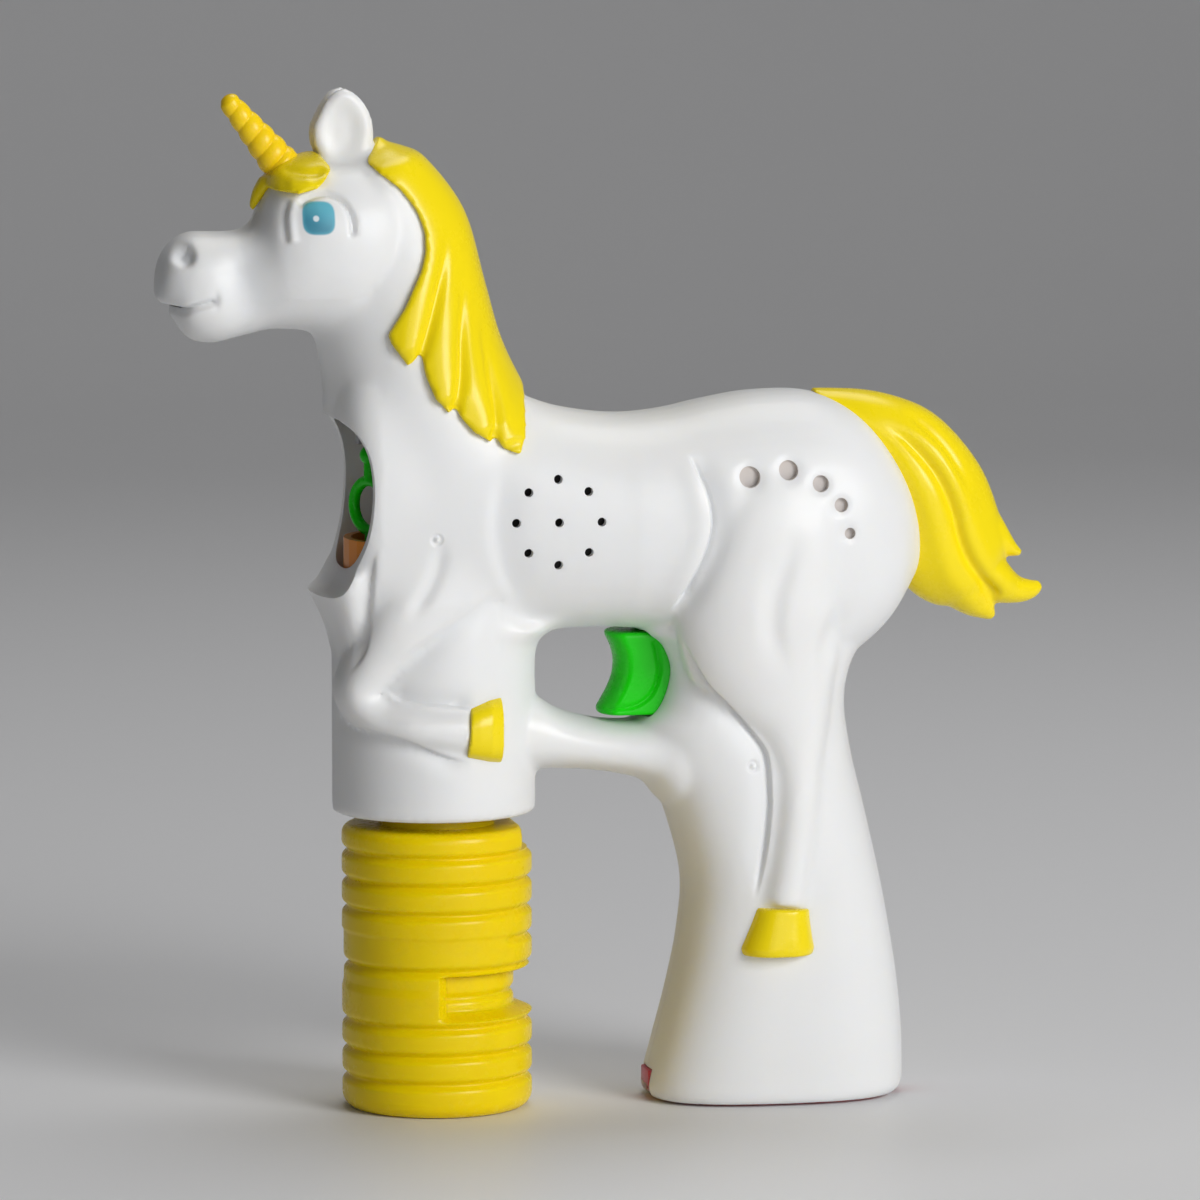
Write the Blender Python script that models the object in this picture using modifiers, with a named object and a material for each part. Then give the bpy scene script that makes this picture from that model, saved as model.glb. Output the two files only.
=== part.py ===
"""Toy bubble blower: a white unicorn pistol with a trigger, a bubble ring and a screw-on bottle.

The toy faces -X, its left flank is at -Y and it stands on z = 0. Sizes are millimetres.
"""
import math

import bmesh
import bpy
from mathutils import Matrix, Vector

MM = 0.001
GAP = 0.3
SEAT_GAP = 0.5
WALL = 2.2

# Body forms: rows of (edge x, edge z, opposite edge x, opposite edge z, half thickness in Y)
HEAD_ROWS = [
    (-91.6, 172.0, -91.7, 167.0, 4.5), (-89.0, 177.4, -88.4, 163.4, 9.0), (-84.7, 180.2, -85.6, 159.4, 11.3),
    (-79.6, 180.3, -80.4, 157.8, 12.0), (-74.6, 180.6, -74.0, 159.2, 12.0), (-71.4, 182.8, -68.5, 160.4, 13.0),
    (-69.4, 188.0, -63.5, 160.2, 15.0), (-66.0, 192.4, -57.5, 160.0, 16.5), (-58.0, 194.8, -50.5, 160.5, 17.0),
    (-50.0, 194.8, -43.5, 164.0, 15.5), (-42.5, 193.0, -39.0, 170.0, 12.0), (-37.5, 187.0, -36.0, 178.0, 6.0),
]
NECK_ROWS = [
    (-51.0, 195.4, -46.0, 197.8, 3.0), (-54.0, 192.0, -42.0, 196.8, 8.0),
    (-57.0, 188.0, -37.5, 194.5, 12.0), (-60.0, 173.0, -29.6, 184.0, 14.5), (-58.8, 158.0, -25.4, 169.5, 16.5),
    (-57.4, 150.5, -22.2, 158.2, 18.2), (-57.0, 142.0, -17.5, 148.5, 19.8), (-56.0, 132.0, -12.0, 140.0, 21.0),
    (-54.0, 122.0, -10.0, 128.0, 20.0),
]
TORSO_ROWS = [
    (-51.0, 138.0, -51.0, 101.0, 19.0), (-44.0, 142.0, -44.0, 98.0, 20.5), (-32.0, 146.0, -32.0, 97.5, 21.5),
    (-20.0, 147.0, -20.0, 98.0, 22.0), (-9.0, 143.8, -9.0, 98.3, 22.3), (2.5, 142.2, 2.0, 98.3, 22.5),
    (12.5, 142.9, 12.0, 97.0, 22.5), (21.5, 144.8, 22.0, 92.0, 22.8), (32.0, 146.4, 33.0, 88.0, 23.0),
    (44.0, 146.0, 43.0, 88.0, 22.5), (54.0, 141.0, 52.0, 92.0, 20.5), (62.0, 131.0, 59.5, 98.5, 15.5),
    (66.8, 120.0, 65.6, 108.0, 7.0),
]
# The foot of the handle follows the door in its base
DOOR_X = 36.1
DOOR_HALF_LENGTH = 24.2
DOOR_FRONT = DOOR_X - DOOR_HALF_LENGTH
DOOR_REAR = DOOR_X + DOOR_HALF_LENGTH
FOOT_FRONT_RIM = 2.7
FOOT_REAR_RIM = 2.8
HANDLE_ROWS = [
    (20.0, 112.0, 50.0, 112.0, 15.0), (8.0, 99.4, 55.4, 99.4, 17.6), (10.8, 95.2, 54.4, 95.6, 17.8),
    (12.7, 90.6, 52.0, 91.0, 18.0), (12.2, 86.0, 50.7, 86.6, 17.9), (10.2, 81.6, 50.4, 82.4, 17.8),
    (7.0, 78.0, 50.8, 78.4, 17.6), (9.0, 71.0, 52.2, 70.6, 17.5), (12.8, 63.0, 54.2, 62.5, 17.5),
    (17.3, 47.0, 57.6, 48.0, 17.5), (16.7, 35.0, 60.0, 36.0, 17.5), (14.4, 23.5, 61.8, 25.0, 17.7),
    (DOOR_FRONT - 0.4, 12.5, DOOR_REAR + 2.6, 14.0, 18.0),
    (DOOR_FRONT - FOOT_FRONT_RIM, 4.0, DOOR_REAR + FOOT_REAR_RIM, 4.0, 18.0),
    (DOOR_FRONT - FOOT_FRONT_RIM - 1.2, -6.0, DOOR_REAR + FOOT_REAR_RIM, -6.0, 18.0),
]
BAR_ROWS = [
    (-24.0, 86.0, -24.0, 69.0, 13.0), (-15.0, 85.0, -14.0, 69.4, 12.5), (-9.5, 81.8, -9.0, 69.4, 12.0),
    (-3.0, 79.7, -3.0, 69.0, 12.0), (4.0, 78.8, 2.5, 68.2, 12.5), (11.0, 79.5, 8.5, 66.3, 13.5),
    (18.0, 84.0, 14.0, 61.0, 15.0), (26.0, 84.0, 24.0, 62.0, 15.0),
]
LIP_ROWS = [
    (-55.2, 96.0, -44.0, 96.0, 15.0), (-56.6, 102.0, -44.0, 102.0, 16.0), (-60.0, 108.6, -44.0, 108.6, 17.0),
    (-60.6, 111.5, -44.0, 111.5, 17.0), (-57.0, 114.0, -44.0, 114.0, 16.0),
]
# Ears and legs: rows of (x, z, half width, |y|, half thickness) along the limb
EAR_ROWS = [
    (-53.8, 190.0, 4.4, 3.2, 2.6), (-53.8, 194.5, 4.6, 3.1, 2.5), (-53.4, 199.6, 6.4, 3.0, 2.4),
    (-53.2, 203.0, 5.6, 3.0, 2.3), (-53.4, 206.0, 4.0, 3.0, 2.1), (-53.6, 209.2, 1.2, 3.0, 1.3),
]
FORELEG_ROWS = [
    (-25.0, 126.0, 8.0, 10.5, 6.0), (-31.0, 117.0, 10.0, 14.0, 7.4), (-36.5, 109.0, 11.5, 15.8, 8.2),
    (-43.5, 100.0, 8.8, 13.8, 8.4),
    (-49.4, 92.6, 5.8, 10.8, 8.4), (-52.0, 87.0, 4.9, 9.6, 8.0), (-49.0, 82.9, 4.3, 11.2, 8.0),
    (-43.0, 81.0, 4.4, 14.6, 7.6), (-36.5, 80.1, 4.7, 15.8, 7.2), (-30.8, 79.6, 5.4, 15.6, 7.2),
]
HIND_LEG_ROWS = [
    (38.0, 143.0, 10.0, 4.0, 6.0), (36.0, 134.0, 14.5, 10.4, 8.8), (34.0, 122.0, 17.0, 13.8, 10.4), (31.0, 108.0, 17.8, 14.5, 10.8),
    (30.5, 98.0, 17.0, 14.0, 10.6), (33.4, 88.0, 14.8, 12.0, 10.0), (36.6, 79.0, 9.6, 10.5, 9.6),
    (38.0, 70.0, 6.5, 10.0, 9.4), (38.0, 62.0, 6.0, 10.0, 9.8), (37.0, 53.0, 5.8, 10.0, 10.0),
    (35.2, 41.8, 5.8, 10.0, 10.2),
]
TAIL_ROWS = [
    (44.0, 146.6, 52.0, 134.0, 5.5), (54.2, 146.2, 56.0, 130.0, 8.0), (62.0, 144.6, 58.5, 126.0, 9.5),
    (69.0, 141.6, 60.0, 120.0, 10.5), (75.0, 136.3, 61.5, 114.0, 11.0), (80.4, 128.9, 62.5, 108.0, 10.5),
    (83.8, 120.4, 66.0, 103.6, 9.0), (85.4, 114.6, 71.0, 101.0, 7.2), (85.0, 110.0, 76.0, 101.0, 4.5),
]
# Tail tips: rows of (x, z, half width, |y|, half thickness)
TAIL_TIPS = [
    [(80.5, 119.0, 5.0, 0.0, 6.0), (85.6, 113.0, 3.2, 0.0, 4.2), (89.5, 109.8, 0.7, 0.0, 1.0)],
    [(80.0, 110.0, 6.0, 0.0, 6.5), (87.0, 105.6, 4.2, 0.0, 4.8), (93.0, 103.0, 0.8, 0.0, 1.0)],
    [(74.0, 107.0, 6.0, 0.0, 6.5), (79.4, 101.3, 3.6, 0.0, 4.4), (83.4, 97.2, 0.7, 0.0, 1.0)],
]
# Side outlines (x, z) of the mane and forelock; their outer stretches run clear of the neck and head
MANE_OUTLINE = [
    (-49.2, 194.4), (-47.4, 192.2), (-43.5, 189.4), (-39.9, 184.7), (-38.4, 179.8), (-39.4, 173.4),
    (-42.6, 166.4), (-46.4, 160.2), (-42.6, 154.2), (-40.2, 156.6), (-38.8, 152.6), (-34.2, 144.6),
    (-32.6, 146.0), (-26.4, 138.7), (-25.2, 140.4), (-20.2, 136.0), (-17.6, 142.0), (-16.8, 147.6),
    (-8.0, 154.0), (-10.0, 180.0), (-25.0, 204.0), (-40.0, 208.0), (-45.4, 200.0),
]
FORELOCK_OUTLINE = [
    (-71.5, 190.6), (-68.6, 188.7), (-64.0, 187.7), (-60.2, 189.6), (-57.2, 193.2), (-58.4, 195.6),
    (-60.6, 200.0), (-72.0, 200.0),
]
MANE_RISE = 1.3
FORELOCK_RISE = 1.4

# Bottle holder tube, chest mouth and bottle
TUBE_X = -34.7
TUBE_RADIUS = 20.8
TUBE_BOTTOM = 61.0
TUBE_TOP = 118.0
TUBE_LIP_HEIGHT = 1.2
TUBE_LIP_DEPTH = 1.2
MOUTH_Z = 126.3
MOUTH_HALF_HEIGHT = 17.5
MOUTH_HALF_WIDTH = 15.2
BOTTLE_X = TUBE_X + 0.6
BOTTLE_RADIUS = 19.5
BOTTLE_SHOULDER = 58.6
BOTTLE_WALL = 1.3
BOTTLE_FLOOR = 2.6
BOTTLE_BASE_RADIUS = 16.5
BOTTLE_NECK_RADIUS = 12.6
BOTTLE_BORE_RADIUS = 10.6
BOTTLE_NECK_TOP = 72.0
GROOVE_TOP = 53.4
GROOVE_PITCH = 5.8
GROOVE_DEPTH = 1.1
GROOVE_COUNT = 9
POCKET_RADIUS = 15.7
POCKET_BANDS = [(20.0, 29.4), (53.6, 61.0)]
POCKET_SETBACK = 0.4
SOCKET_RADIUS = 17.6
SOCKET_TOP = 76.0
SOCKET_PLATE = 2.0
SEAL_INNER_RADIUS = 7.0
SEAL_THICKNESS = 1.4
SHELF_INNER_RADIUS = 14.0
SHELF_THICKNESS = 2.0
HOSE_RADIUS = 1.6
HOSE_Y = 4.5

# Air line: ring, nozzle, fan and motor share one axis along X
AIR_Z = 124.0
RING_X = -47.7
RING_RADIUS = 6.0
RING_BORE = 4.7
RING_TURN = math.radians(30.0)
RING_SHAFT_RADIUS = 1.1
RING_KNOB_Z = 134.3
RING_KNOB_RADIUS = 2.1
CRANK_RADIUS = 6.0
CRANK_Z = 100.8
CRANK_THICKNESS = 1.6
CRANK_PIN_RADIUS = 0.9
ROD_Z = 104.0
ROD_RADIUS = 1.2
ROD_EYE_RADIUS = 2.1
ROD_POST_X = 17.0
TRIGGER_TRAVEL = 4.0
NOZZLE_FRONT = -43.2
NOZZLE_RADIUS = 6.2
NOZZLE_BORE = 5.0
FAN_HOUSING_FRONT = -30.0
FAN_HOUSING_REAR = -12.0
FAN_HOUSING_RADIUS = 13.0
FAN_HOUSING_WALL = 1.4
FAN_CLEARANCE = 0.8
FAN_RADIUS = FAN_HOUSING_RADIUS - FAN_HOUSING_WALL - FAN_CLEARANCE
FAN_LENGTH = 8.0
FAN_BLADES = 6
FAN_PITCH = math.radians(25.0)
FAN_X = -25.0
MOTOR_FRONT = -11.2
MOTOR_LENGTH = 25.0
MOTOR_RADIUS = 10.0
MOTOR_FLAT = 7.6
SHAFT_RADIUS = 1.0
SHAFT_FRONT = -27.5
SHAFT_REAR = 27.0
GEAR_MODULE = 0.75
PINION_TEETH = 8
PUMP_TEETH = 24
GEAR_FRONT = 22.8
GEAR_WIDTH = 3.4
PUMP_Z = AIR_Z - GEAR_MODULE * (PINION_TEETH + PUMP_TEETH) / 2.0
PUMP_PEG_RADIUS = 1.6
PUMP_PEG_CIRCLE = 5.0
PUMP_PEGS = 3
PUMP_HOSE_CIRCLE = 8.7
PUMP_BORE = 10.8
PUMP_RADIUS = 12.6
PUMP_FRONT = 27.6
PUMP_REAR = 33.6
PUMP_PLATE = 1.4

# Trigger and its seat in the handle: outline (x, z) with a hollowed front
TRIGGER_OUTLINE = [
    (22.0, 80.4), (22.0, 97.4), (0.4, 97.4), (-0.6, 96.6), (0.7, 93.6), (1.2, 91.0), (0.8, 88.0),
    (-0.7, 84.6), (-2.3, 81.9), (-1.4, 80.4),
]
TRIGGER_HALF_WIDTH = 6.5
TRIGGER_SLOT = (-4.0, 32.0, 79.9, 97.9)
SPRING_Z = 86.0
SPRING_RADIUS = 3.2
SPRING_WIRE = 0.45
SPRING_RIB = (34.0, 36.0, 74.0, 98.0)

# Battery space in the handle
BASE_EDGE = 0.5
BASE_TOP = 2.8
DOOR_TOP = 2.5
DOOR_HALF_WIDTH = 15.2
CLIP_HALF_WIDTH = 4.0
CLIP_TOP = 6.4
CLIP_BUMP_LOW = 3.1
CELL_RADIUS = 7.1
CELL_LENGTH = 49.2
NUB_RADIUS = 2.7
NUB_LENGTH = 1.2
CELL_PLACES = [(40.3, 7.4, True), (40.3, -7.4, False), (27.4, 0.0, True)]
CELL_FLOOR = 8.0
CONTACT_THICKNESS = 0.6
DOOR_SCREW_X = DOOR_FRONT + 4.8
DOOR_SCREW_Y = 7.4

# Casing screws: name and (x, z); they enter from +Y
SCREW_PLACES = [
    ("head", -53.0, 175.0), ("chest", -38.0, 109.3), ("bar", -5.0, 74.4), ("rump", 57.0, 114.0),
    ("grip_top", 28.5, 70.7), ("grip_low", 54.0, 17.0),
]
BOSS_RADIUS = 3.0
SCREW_HEAD_RADIUS = 2.5
SCREW_HEAD_HEIGHT = 1.8
SCREW_RADIUS = 1.0
SCREW_SEAT_Y = 7.0
SCREW_TIP_Y = -8.7

# Sound and light
SPEAKER_X = -12.6
SPEAKER_Z = 122.0
SPEAKER_RADIUS = 11.5
SPEAKER_DEPTH = 3.2
SPEAKER_CLEARANCE = 0.5
SPEAKER_FRONT_Y = -(FAN_HOUSING_RADIUS + SPEAKER_CLEARANCE + SPEAKER_DEPTH)
SOUND_HOLE_CIRCLE = 8.7
SOUND_HOLE_COUNT = 8
SOUND_HOLE_RADIUS = 0.9
RUMP_VENTS = [
    (26.9, 130.4, 2.15), (35.0, 131.6, 2.0), (41.6, 128.8, 1.7), (45.8, 124.4, 1.45), (47.6, 118.6, 1.15),
]
BOARD = (37.0, 52.0, 104.0, 126.0)
BOARD_Y = 11.1
BOARD_THICKNESS = 1.6
BOARD_POST_RADIUS = 2.0

# Horn
HORN_BASE = Vector((-66.1, 0.0, 194.1))
HORN_AXIS = Vector((-0.637, 0.0, 0.771)).normalized()
HORN_LENGTH = 17.4
HORN_PLUG = 3.4
HORN_BASE_RADIUS = 3.9
HORN_TIP_RADIUS = 2.0
HORN_TURNS = 5
LAMP_RADIUS = 1.5
LAMP_LENGTH = 6.0

# Mesh fineness
BODY_VOXEL = 1.0
BODY_SMOOTHING = 6
BODY_TRIANGLES = 2700
CAVITY_TRIANGLES = 600


def clear_scene():
    for item in list(bpy.data.objects):
        bpy.data.objects.remove(item, do_unlink=True)


def new_collection(name):
    group = bpy.data.collections.new(name)
    bpy.context.scene.collection.children.link(group)
    return group


def material(name, colour, roughness, metallic=0.0):
    made = bpy.data.materials.new(name)
    made.use_nodes = True
    shader = made.node_tree.nodes["Principled BSDF"]
    shader.inputs["Base Color"].default_value = (*colour, 1.0)
    shader.inputs["Roughness"].default_value = roughness
    shader.inputs["Metallic"].default_value = metallic
    made.diffuse_color = (*colour, 1.0)
    return made


def object_from(bm, name, group):
    """A bmesh in millimetres becomes a named object in metres, with its faces pointing out."""
    bmesh.ops.recalc_face_normals(bm, faces=bm.faces)
    bmesh.ops.scale(bm, vec=(MM, MM, MM), verts=bm.verts)
    mesh = bpy.data.meshes.new(name)
    bm.to_mesh(mesh)
    bm.free()
    made = bpy.data.objects.new(name, mesh)
    group.objects.link(made)
    return made


def bake(item):
    """Replace an object's mesh by what its modifiers make of it."""
    shown = item.evaluated_get(bpy.context.evaluated_depsgraph_get())
    mesh = bpy.data.meshes.new_from_object(shown)
    item.modifiers.clear()
    old = item.data
    item.data = mesh
    bpy.data.meshes.remove(old)
    return item


def combine(item, other, operation, keep=False):
    """Boolean of one object with another; the second is used up unless it is kept."""
    step = item.modifiers.new(operation.lower(), "BOOLEAN")
    step.operation = operation
    step.object = other
    step.solver = "EXACT"
    bake(item)
    if not keep:
        bpy.data.objects.remove(other, do_unlink=True)
    return item


def cut(item, *others, keep=False):
    for other in others:
        combine(item, other, "DIFFERENCE", keep)
    return item


def fuse(item, *others):
    for other in others:
        combine(item, other, "UNION")
    return item


def duplicate(item, name):
    copy = bpy.data.objects.new(name, item.data.copy())
    CUTTERS.objects.link(copy)
    return copy


def swollen(item, name, amount):
    """A copy of a solid, grown along its normals."""
    copy = duplicate(item, name)
    step = copy.modifiers.new("grow", "DISPLACE")
    step.strength = amount * MM
    step.mid_level = 0.0
    return bake(copy)


def place(item, name, finish, origin=(0.0, 0.0, 0.0)):
    """Make an object a sub-part: name, material, smooth shading and an origin on its joint axis."""
    for group in list(item.users_collection):
        group.objects.unlink(item)
    PARTS.objects.link(item)
    item.name = name
    item.data.name = name
    item.data.materials.clear()
    item.data.materials.append(finish)
    item.data.shade_smooth()
    item.data.set_sharp_from_angle(angle=math.radians(35.0))
    point = Vector(origin) * MM
    item.data.transform(Matrix.Translation(-point))
    item.location = point
    return item


# Basic solids

def box(x_range, y_range, z_range, name="box"):
    bm = bmesh.new()
    low = Vector((x_range[0], y_range[0], z_range[0]))
    high = Vector((x_range[1], y_range[1], z_range[1]))
    frame = Matrix.Translation((low + high) / 2.0) @ Matrix.Diagonal((*(high - low), 1.0))
    bmesh.ops.create_cube(bm, size=1.0, matrix=frame)
    return object_from(bm, name, CUTTERS)


def rod(start, end, radius, sides=16, end_radius=None, name="rod"):
    bm = bmesh.new()
    start = Vector(start)
    end = Vector(end)
    turn = (end - start).to_track_quat("Z", "Y").to_matrix().to_4x4()
    bmesh.ops.create_cone(
        bm, cap_ends=True, segments=sides, radius1=radius, radius2=radius if end_radius is None else end_radius,
        depth=(end - start).length, matrix=Matrix.Translation((start + end) / 2.0) @ turn)
    return object_from(bm, name, CUTTERS)


def turned(profile, origin, axis=(0.0, 0.0, 1.0), steps=24, name="turned"):
    """A profile of (radius, height) spun about an axis."""
    mesh = bpy.data.meshes.new(name)
    points = [(r * MM, 0.0, h * MM) for r, h in profile]
    mesh.from_pydata(points, [(i, i + 1) for i in range(len(points) - 1)], [])
    item = bpy.data.objects.new(name, mesh)
    CUTTERS.objects.link(item)
    spin = item.modifiers.new("spin", "SCREW")
    spin.steps = steps
    spin.render_steps = steps
    spin.use_merge_vertices = True
    spin.merge_threshold = 1e-5
    bake(item)
    turn = Vector(axis).to_track_quat("Z", "Y").to_matrix().to_4x4()
    item.data.transform(Matrix.Translation(Vector(origin) * MM) @ turn)
    bm = bmesh.new()
    bm.from_mesh(item.data)
    bmesh.ops.remove_doubles(bm, verts=bm.verts, dist=1e-6)
    bmesh.ops.recalc_face_normals(bm, faces=bm.faces)
    bm.to_mesh(item.data)
    bm.free()
    return item


def ring_solid(inner, outer, start, axis, length, steps=24):
    """A plain ring or tube."""
    profile = [(inner, length), (outer, length), (outer, 0.0), (inner, 0.0), (inner, length)]
    return turned(profile, start, axis, steps)


def wire(points, radius, name, roundness=1):
    """A round wire or hose along a path."""
    curve = bpy.data.curves.new(name, "CURVE")
    curve.dimensions = "3D"
    curve.bevel_depth = radius * MM
    curve.bevel_resolution = roundness
    curve.use_fill_caps = True
    spline = curve.splines.new("POLY")
    spline.points.add(len(points) - 1)
    for target, point in zip(spline.points, points):
        target.co = (*(Vector(point) * MM), 1.0)
    drawn = bpy.data.objects.new(name, curve)
    CUTTERS.objects.link(drawn)
    shown = drawn.evaluated_get(bpy.context.evaluated_depsgraph_get())
    mesh = bpy.data.meshes.new_from_object(shown)
    bm = bmesh.new()
    bm.from_mesh(mesh)
    bmesh.ops.remove_doubles(bm, verts=bm.verts, dist=1e-6)
    bmesh.ops.recalc_face_normals(bm, faces=bm.faces)
    bm.to_mesh(mesh)
    bm.free()
    item = bpy.data.objects.new(name, mesh)
    CUTTERS.objects.link(item)
    bpy.data.objects.remove(drawn, do_unlink=True)
    return item


def plate(outline, y_range, name="plate"):
    """A side outline of (x, z) points made thick along Y."""
    bm = bmesh.new()
    face = bm.faces.new([bm.verts.new((x, y_range[0], z)) for x, z in outline])
    made = bmesh.ops.extrude_face_region(bm, geom=[face])
    moved = [v for v in made["geom"] if isinstance(v, bmesh.types.BMVert)]
    bmesh.ops.translate(bm, verts=moved, vec=(0.0, y_range[1] - y_range[0], 0.0))
    return object_from(bm, name, CUTTERS)


def spread(outline, amount):
    """Move a closed outline outwards (or inwards, if negative), corner by corner."""
    count = len(outline)
    points = [Vector(p) for p in outline]
    area = sum(points[i].cross(points[(i + 1) % count]) for i in range(count))
    side = 1.0 if area > 0.0 else -1.0
    moved = []
    for i, point in enumerate(points):
        before = (point - points[i - 1]).normalized()
        after = (points[(i + 1) % count] - point).normalized()
        first = Vector((before.y, -before.x)) * side
        second = Vector((after.y, -after.x)) * side
        middle = (first + second).normalized()
        moved.append(tuple(point + middle * amount / max(middle.dot(first), 0.35)))
    return moved


# Lofts

def blend_rows(rows, steps):
    """Smooth rows between the given ones, by a Catmull-Rom curve through them."""
    smooth = []
    last = len(rows) - 1
    for i in range(last):
        p0, p1, p2, p3 = rows[max(i - 1, 0)], rows[i], rows[i + 1], rows[min(i + 2, last)]
        for k in range(steps):
            t = k / steps
            smooth.append(tuple(
                b + 0.5 * t * (c - a + t * (2 * a - 5 * b + 4 * c - d + t * (3 * (b - c) + d - a)))
                for a, b, c, d in zip(p0, p1, p2, p3)))
    smooth.append(tuple(rows[-1]))
    return smooth


def edge_sections(rows):
    """Sections (centre, half span, half thickness) from rows of edge points in the XZ plane."""
    made = []
    for ax, az, bx, bz, half in rows:
        first = Vector((ax, 0.0, az))
        second = Vector((bx, 0.0, bz))
        made.append(((first + second) / 2.0, (second - first) / 2.0, half))
    return made


def limb_sections(rows, side):
    """Sections of a limb on one flank, square to its path."""
    made = []
    for i, (x, z, width, y, half) in enumerate(rows):
        ahead = rows[min(i + 1, len(rows) - 1)]
        behind = rows[max(i - 1, 0)]
        path = Vector((ahead[0] - behind[0], 0.0, ahead[1] - behind[1])).normalized()
        made.append((Vector((x, side * y, z)), Vector((-path.z, 0.0, path.x)) * width, half))
    return made


def loft(sections, power=2.0, sides=28, inset=0.0, name="loft"):
    """A closed skin through superellipse sections."""
    bm = bmesh.new()
    rings = []
    for centre, span, half in sections:
        reach = max(span.length - inset, 0.4)
        thick = max(half - inset, 0.4)
        along = span.normalized()
        ring = []
        for k in range(sides):
            angle = 2.0 * math.pi * k / sides
            c = math.cos(angle)
            s = math.sin(angle)
            u = math.copysign(abs(c) ** (2.0 / power), c)
            v = math.copysign(abs(s) ** (2.0 / power), s)
            ring.append(bm.verts.new(centre + along * (reach * u) + Vector((0.0, thick * v, 0.0))))
        rings.append(ring)
    for ring, other in zip(rings, rings[1:]):
        for k in range(sides):
            bm.faces.new((ring[k - 1], ring[k], other[k], other[k - 1]))
    bm.faces.new(rings[0])
    bm.faces.new(rings[-1])
    return object_from(bm, name, CUTTERS)


def melt(items, name, voxel, smoothing, triangles):
    """Join overlapping closed forms into one soft skin of about the given number of triangles."""
    bm = bmesh.new()
    for item in items:
        bm.from_mesh(item.data)
        bpy.data.objects.remove(item, do_unlink=True)
    mesh = bpy.data.meshes.new(name)
    bm.to_mesh(mesh)
    bm.free()
    skin = bpy.data.objects.new(name, mesh)
    CUTTERS.objects.link(skin)
    grid = skin.modifiers.new("grid", "REMESH")
    grid.mode = "VOXEL"
    grid.voxel_size = voxel * MM
    soften = skin.modifiers.new("soften", "SMOOTH")
    soften.factor = 0.5
    soften.iterations = int(smoothing)
    bake(skin)
    thin = skin.modifiers.new("thin", "DECIMATE")
    thin.ratio = triangles / (2.0 * len(skin.data.polygons))
    thin.use_collapse_triangulate = True
    return bake(skin)


# Casing

def body_forms(inset=0.0):
    """The closed forms whose union is the body, or the hollow inside it; a negative inset grows them."""
    trim = slice(1, -1) if inset > 0.0 else slice(None)
    forms = [
        loft(edge_sections(blend_rows(HEAD_ROWS[trim], 4)), 2.1, inset=inset),
        loft(edge_sections(blend_rows(NECK_ROWS, 4)), 2.1, inset=inset),
        loft(edge_sections(blend_rows(TORSO_ROWS[trim], 4)), 2.3, inset=inset),
        loft(edge_sections(blend_rows(HANDLE_ROWS, 4)), 2.7, inset=inset),
        loft(edge_sections(blend_rows(BAR_ROWS, 4)), 2.4, inset=inset),
    ]
    if inset != 0.0:
        return forms
    forms.append(rod((TUBE_X, 0.0, TUBE_BOTTOM - 6.0), (TUBE_X, 0.0, TUBE_TOP), TUBE_RADIUS, 48))
    forms.append(loft(edge_sections(blend_rows(LIP_ROWS, 4)), 2.6))
    for side in (-1.0, 1.0):
        forms.append(loft(limb_sections(blend_rows(EAR_ROWS, 4), side), 2.2, 20))
        forms.append(loft(limb_sections(blend_rows(FORELEG_ROWS, 4), side), 2.2, 20))
        forms.append(loft(limb_sections(blend_rows(HIND_LEG_ROWS, 4), side), 2.2, 24))
    return forms


def rib(x_range, z_range, bore_z, bore_radius):
    """A wall across the inside of the body with a round seat in it."""
    wall = box(x_range, (-30.0, 30.0), z_range)
    bore = rod((x_range[0] - 1.0, 0.0, bore_z), (x_range[1] + 1.0, 0.0, bore_z), bore_radius, 28)
    return cut(wall, bore)


def casing_ribs():
    """What stands inside the shell: seats, shelves and screw posts."""
    fan_rib = rib((-21.0, -19.4), (107.0, 150.0), AIR_Z, FAN_HOUSING_RADIUS + GAP)
    collar_space = rod(
        (SPEAKER_X, -30.0, SPEAKER_Z), (SPEAKER_X, SPEAKER_FRONT_Y + SPEAKER_DEPTH + GAP, SPEAKER_Z),
        SPEAKER_RADIUS + GAP, 28)
    cut(fan_rib, collar_space)
    collar_start = (SPEAKER_X, SPEAKER_FRONT_Y + SPEAKER_DEPTH - 1.0, SPEAKER_Z)
    pump_rib = rib((PUMP_REAR - 1.8, PUMP_REAR - 0.4), (PUMP_Z - 8.0, 150.0), PUMP_Z, PUMP_RADIUS + GAP)
    cell_shelf_z = CELL_FLOOR + CELL_LENGTH + NUB_LENGTH + CONTACT_THICKNESS + 3.0 * GAP
    ribs = [
        fan_rib,
        pump_rib,
        rib((3.0, 4.6), (107.0, 150.0), AIR_Z, MOTOR_RADIUS + GAP),
        ring_solid(SPEAKER_RADIUS + GAP, SPEAKER_RADIUS + GAP + 1.4, collar_start, (0.0, -1.0, 0.0), 12.0),
        box(SPRING_RIB[:2], (-30.0, 30.0), SPRING_RIB[2:]),
        box((14.0, 60.0), (-30.0, 30.0), (cell_shelf_z, cell_shelf_z + 1.6)),
        rod((DOOR_SCREW_X, DOOR_SCREW_Y, BASE_TOP), (DOOR_SCREW_X, DOOR_SCREW_Y, 15.0), BOSS_RADIUS, 14),
    ]
    for z in (BOARD[2] + 3.0, BOARD[3] - 3.0):
        x = (BOARD[0] + BOARD[1]) / 2.0
        ribs.append(rod((x, BOARD_Y + BOARD_THICKNESS + GAP, z), (x, 30.0, z), BOARD_POST_RADIUS, 12))
    for _, x, z in SCREW_PLACES:
        ribs.append(rod((x, -30.0, z), (x, 30.0, z), BOSS_RADIUS, 12))
    return ribs


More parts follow.
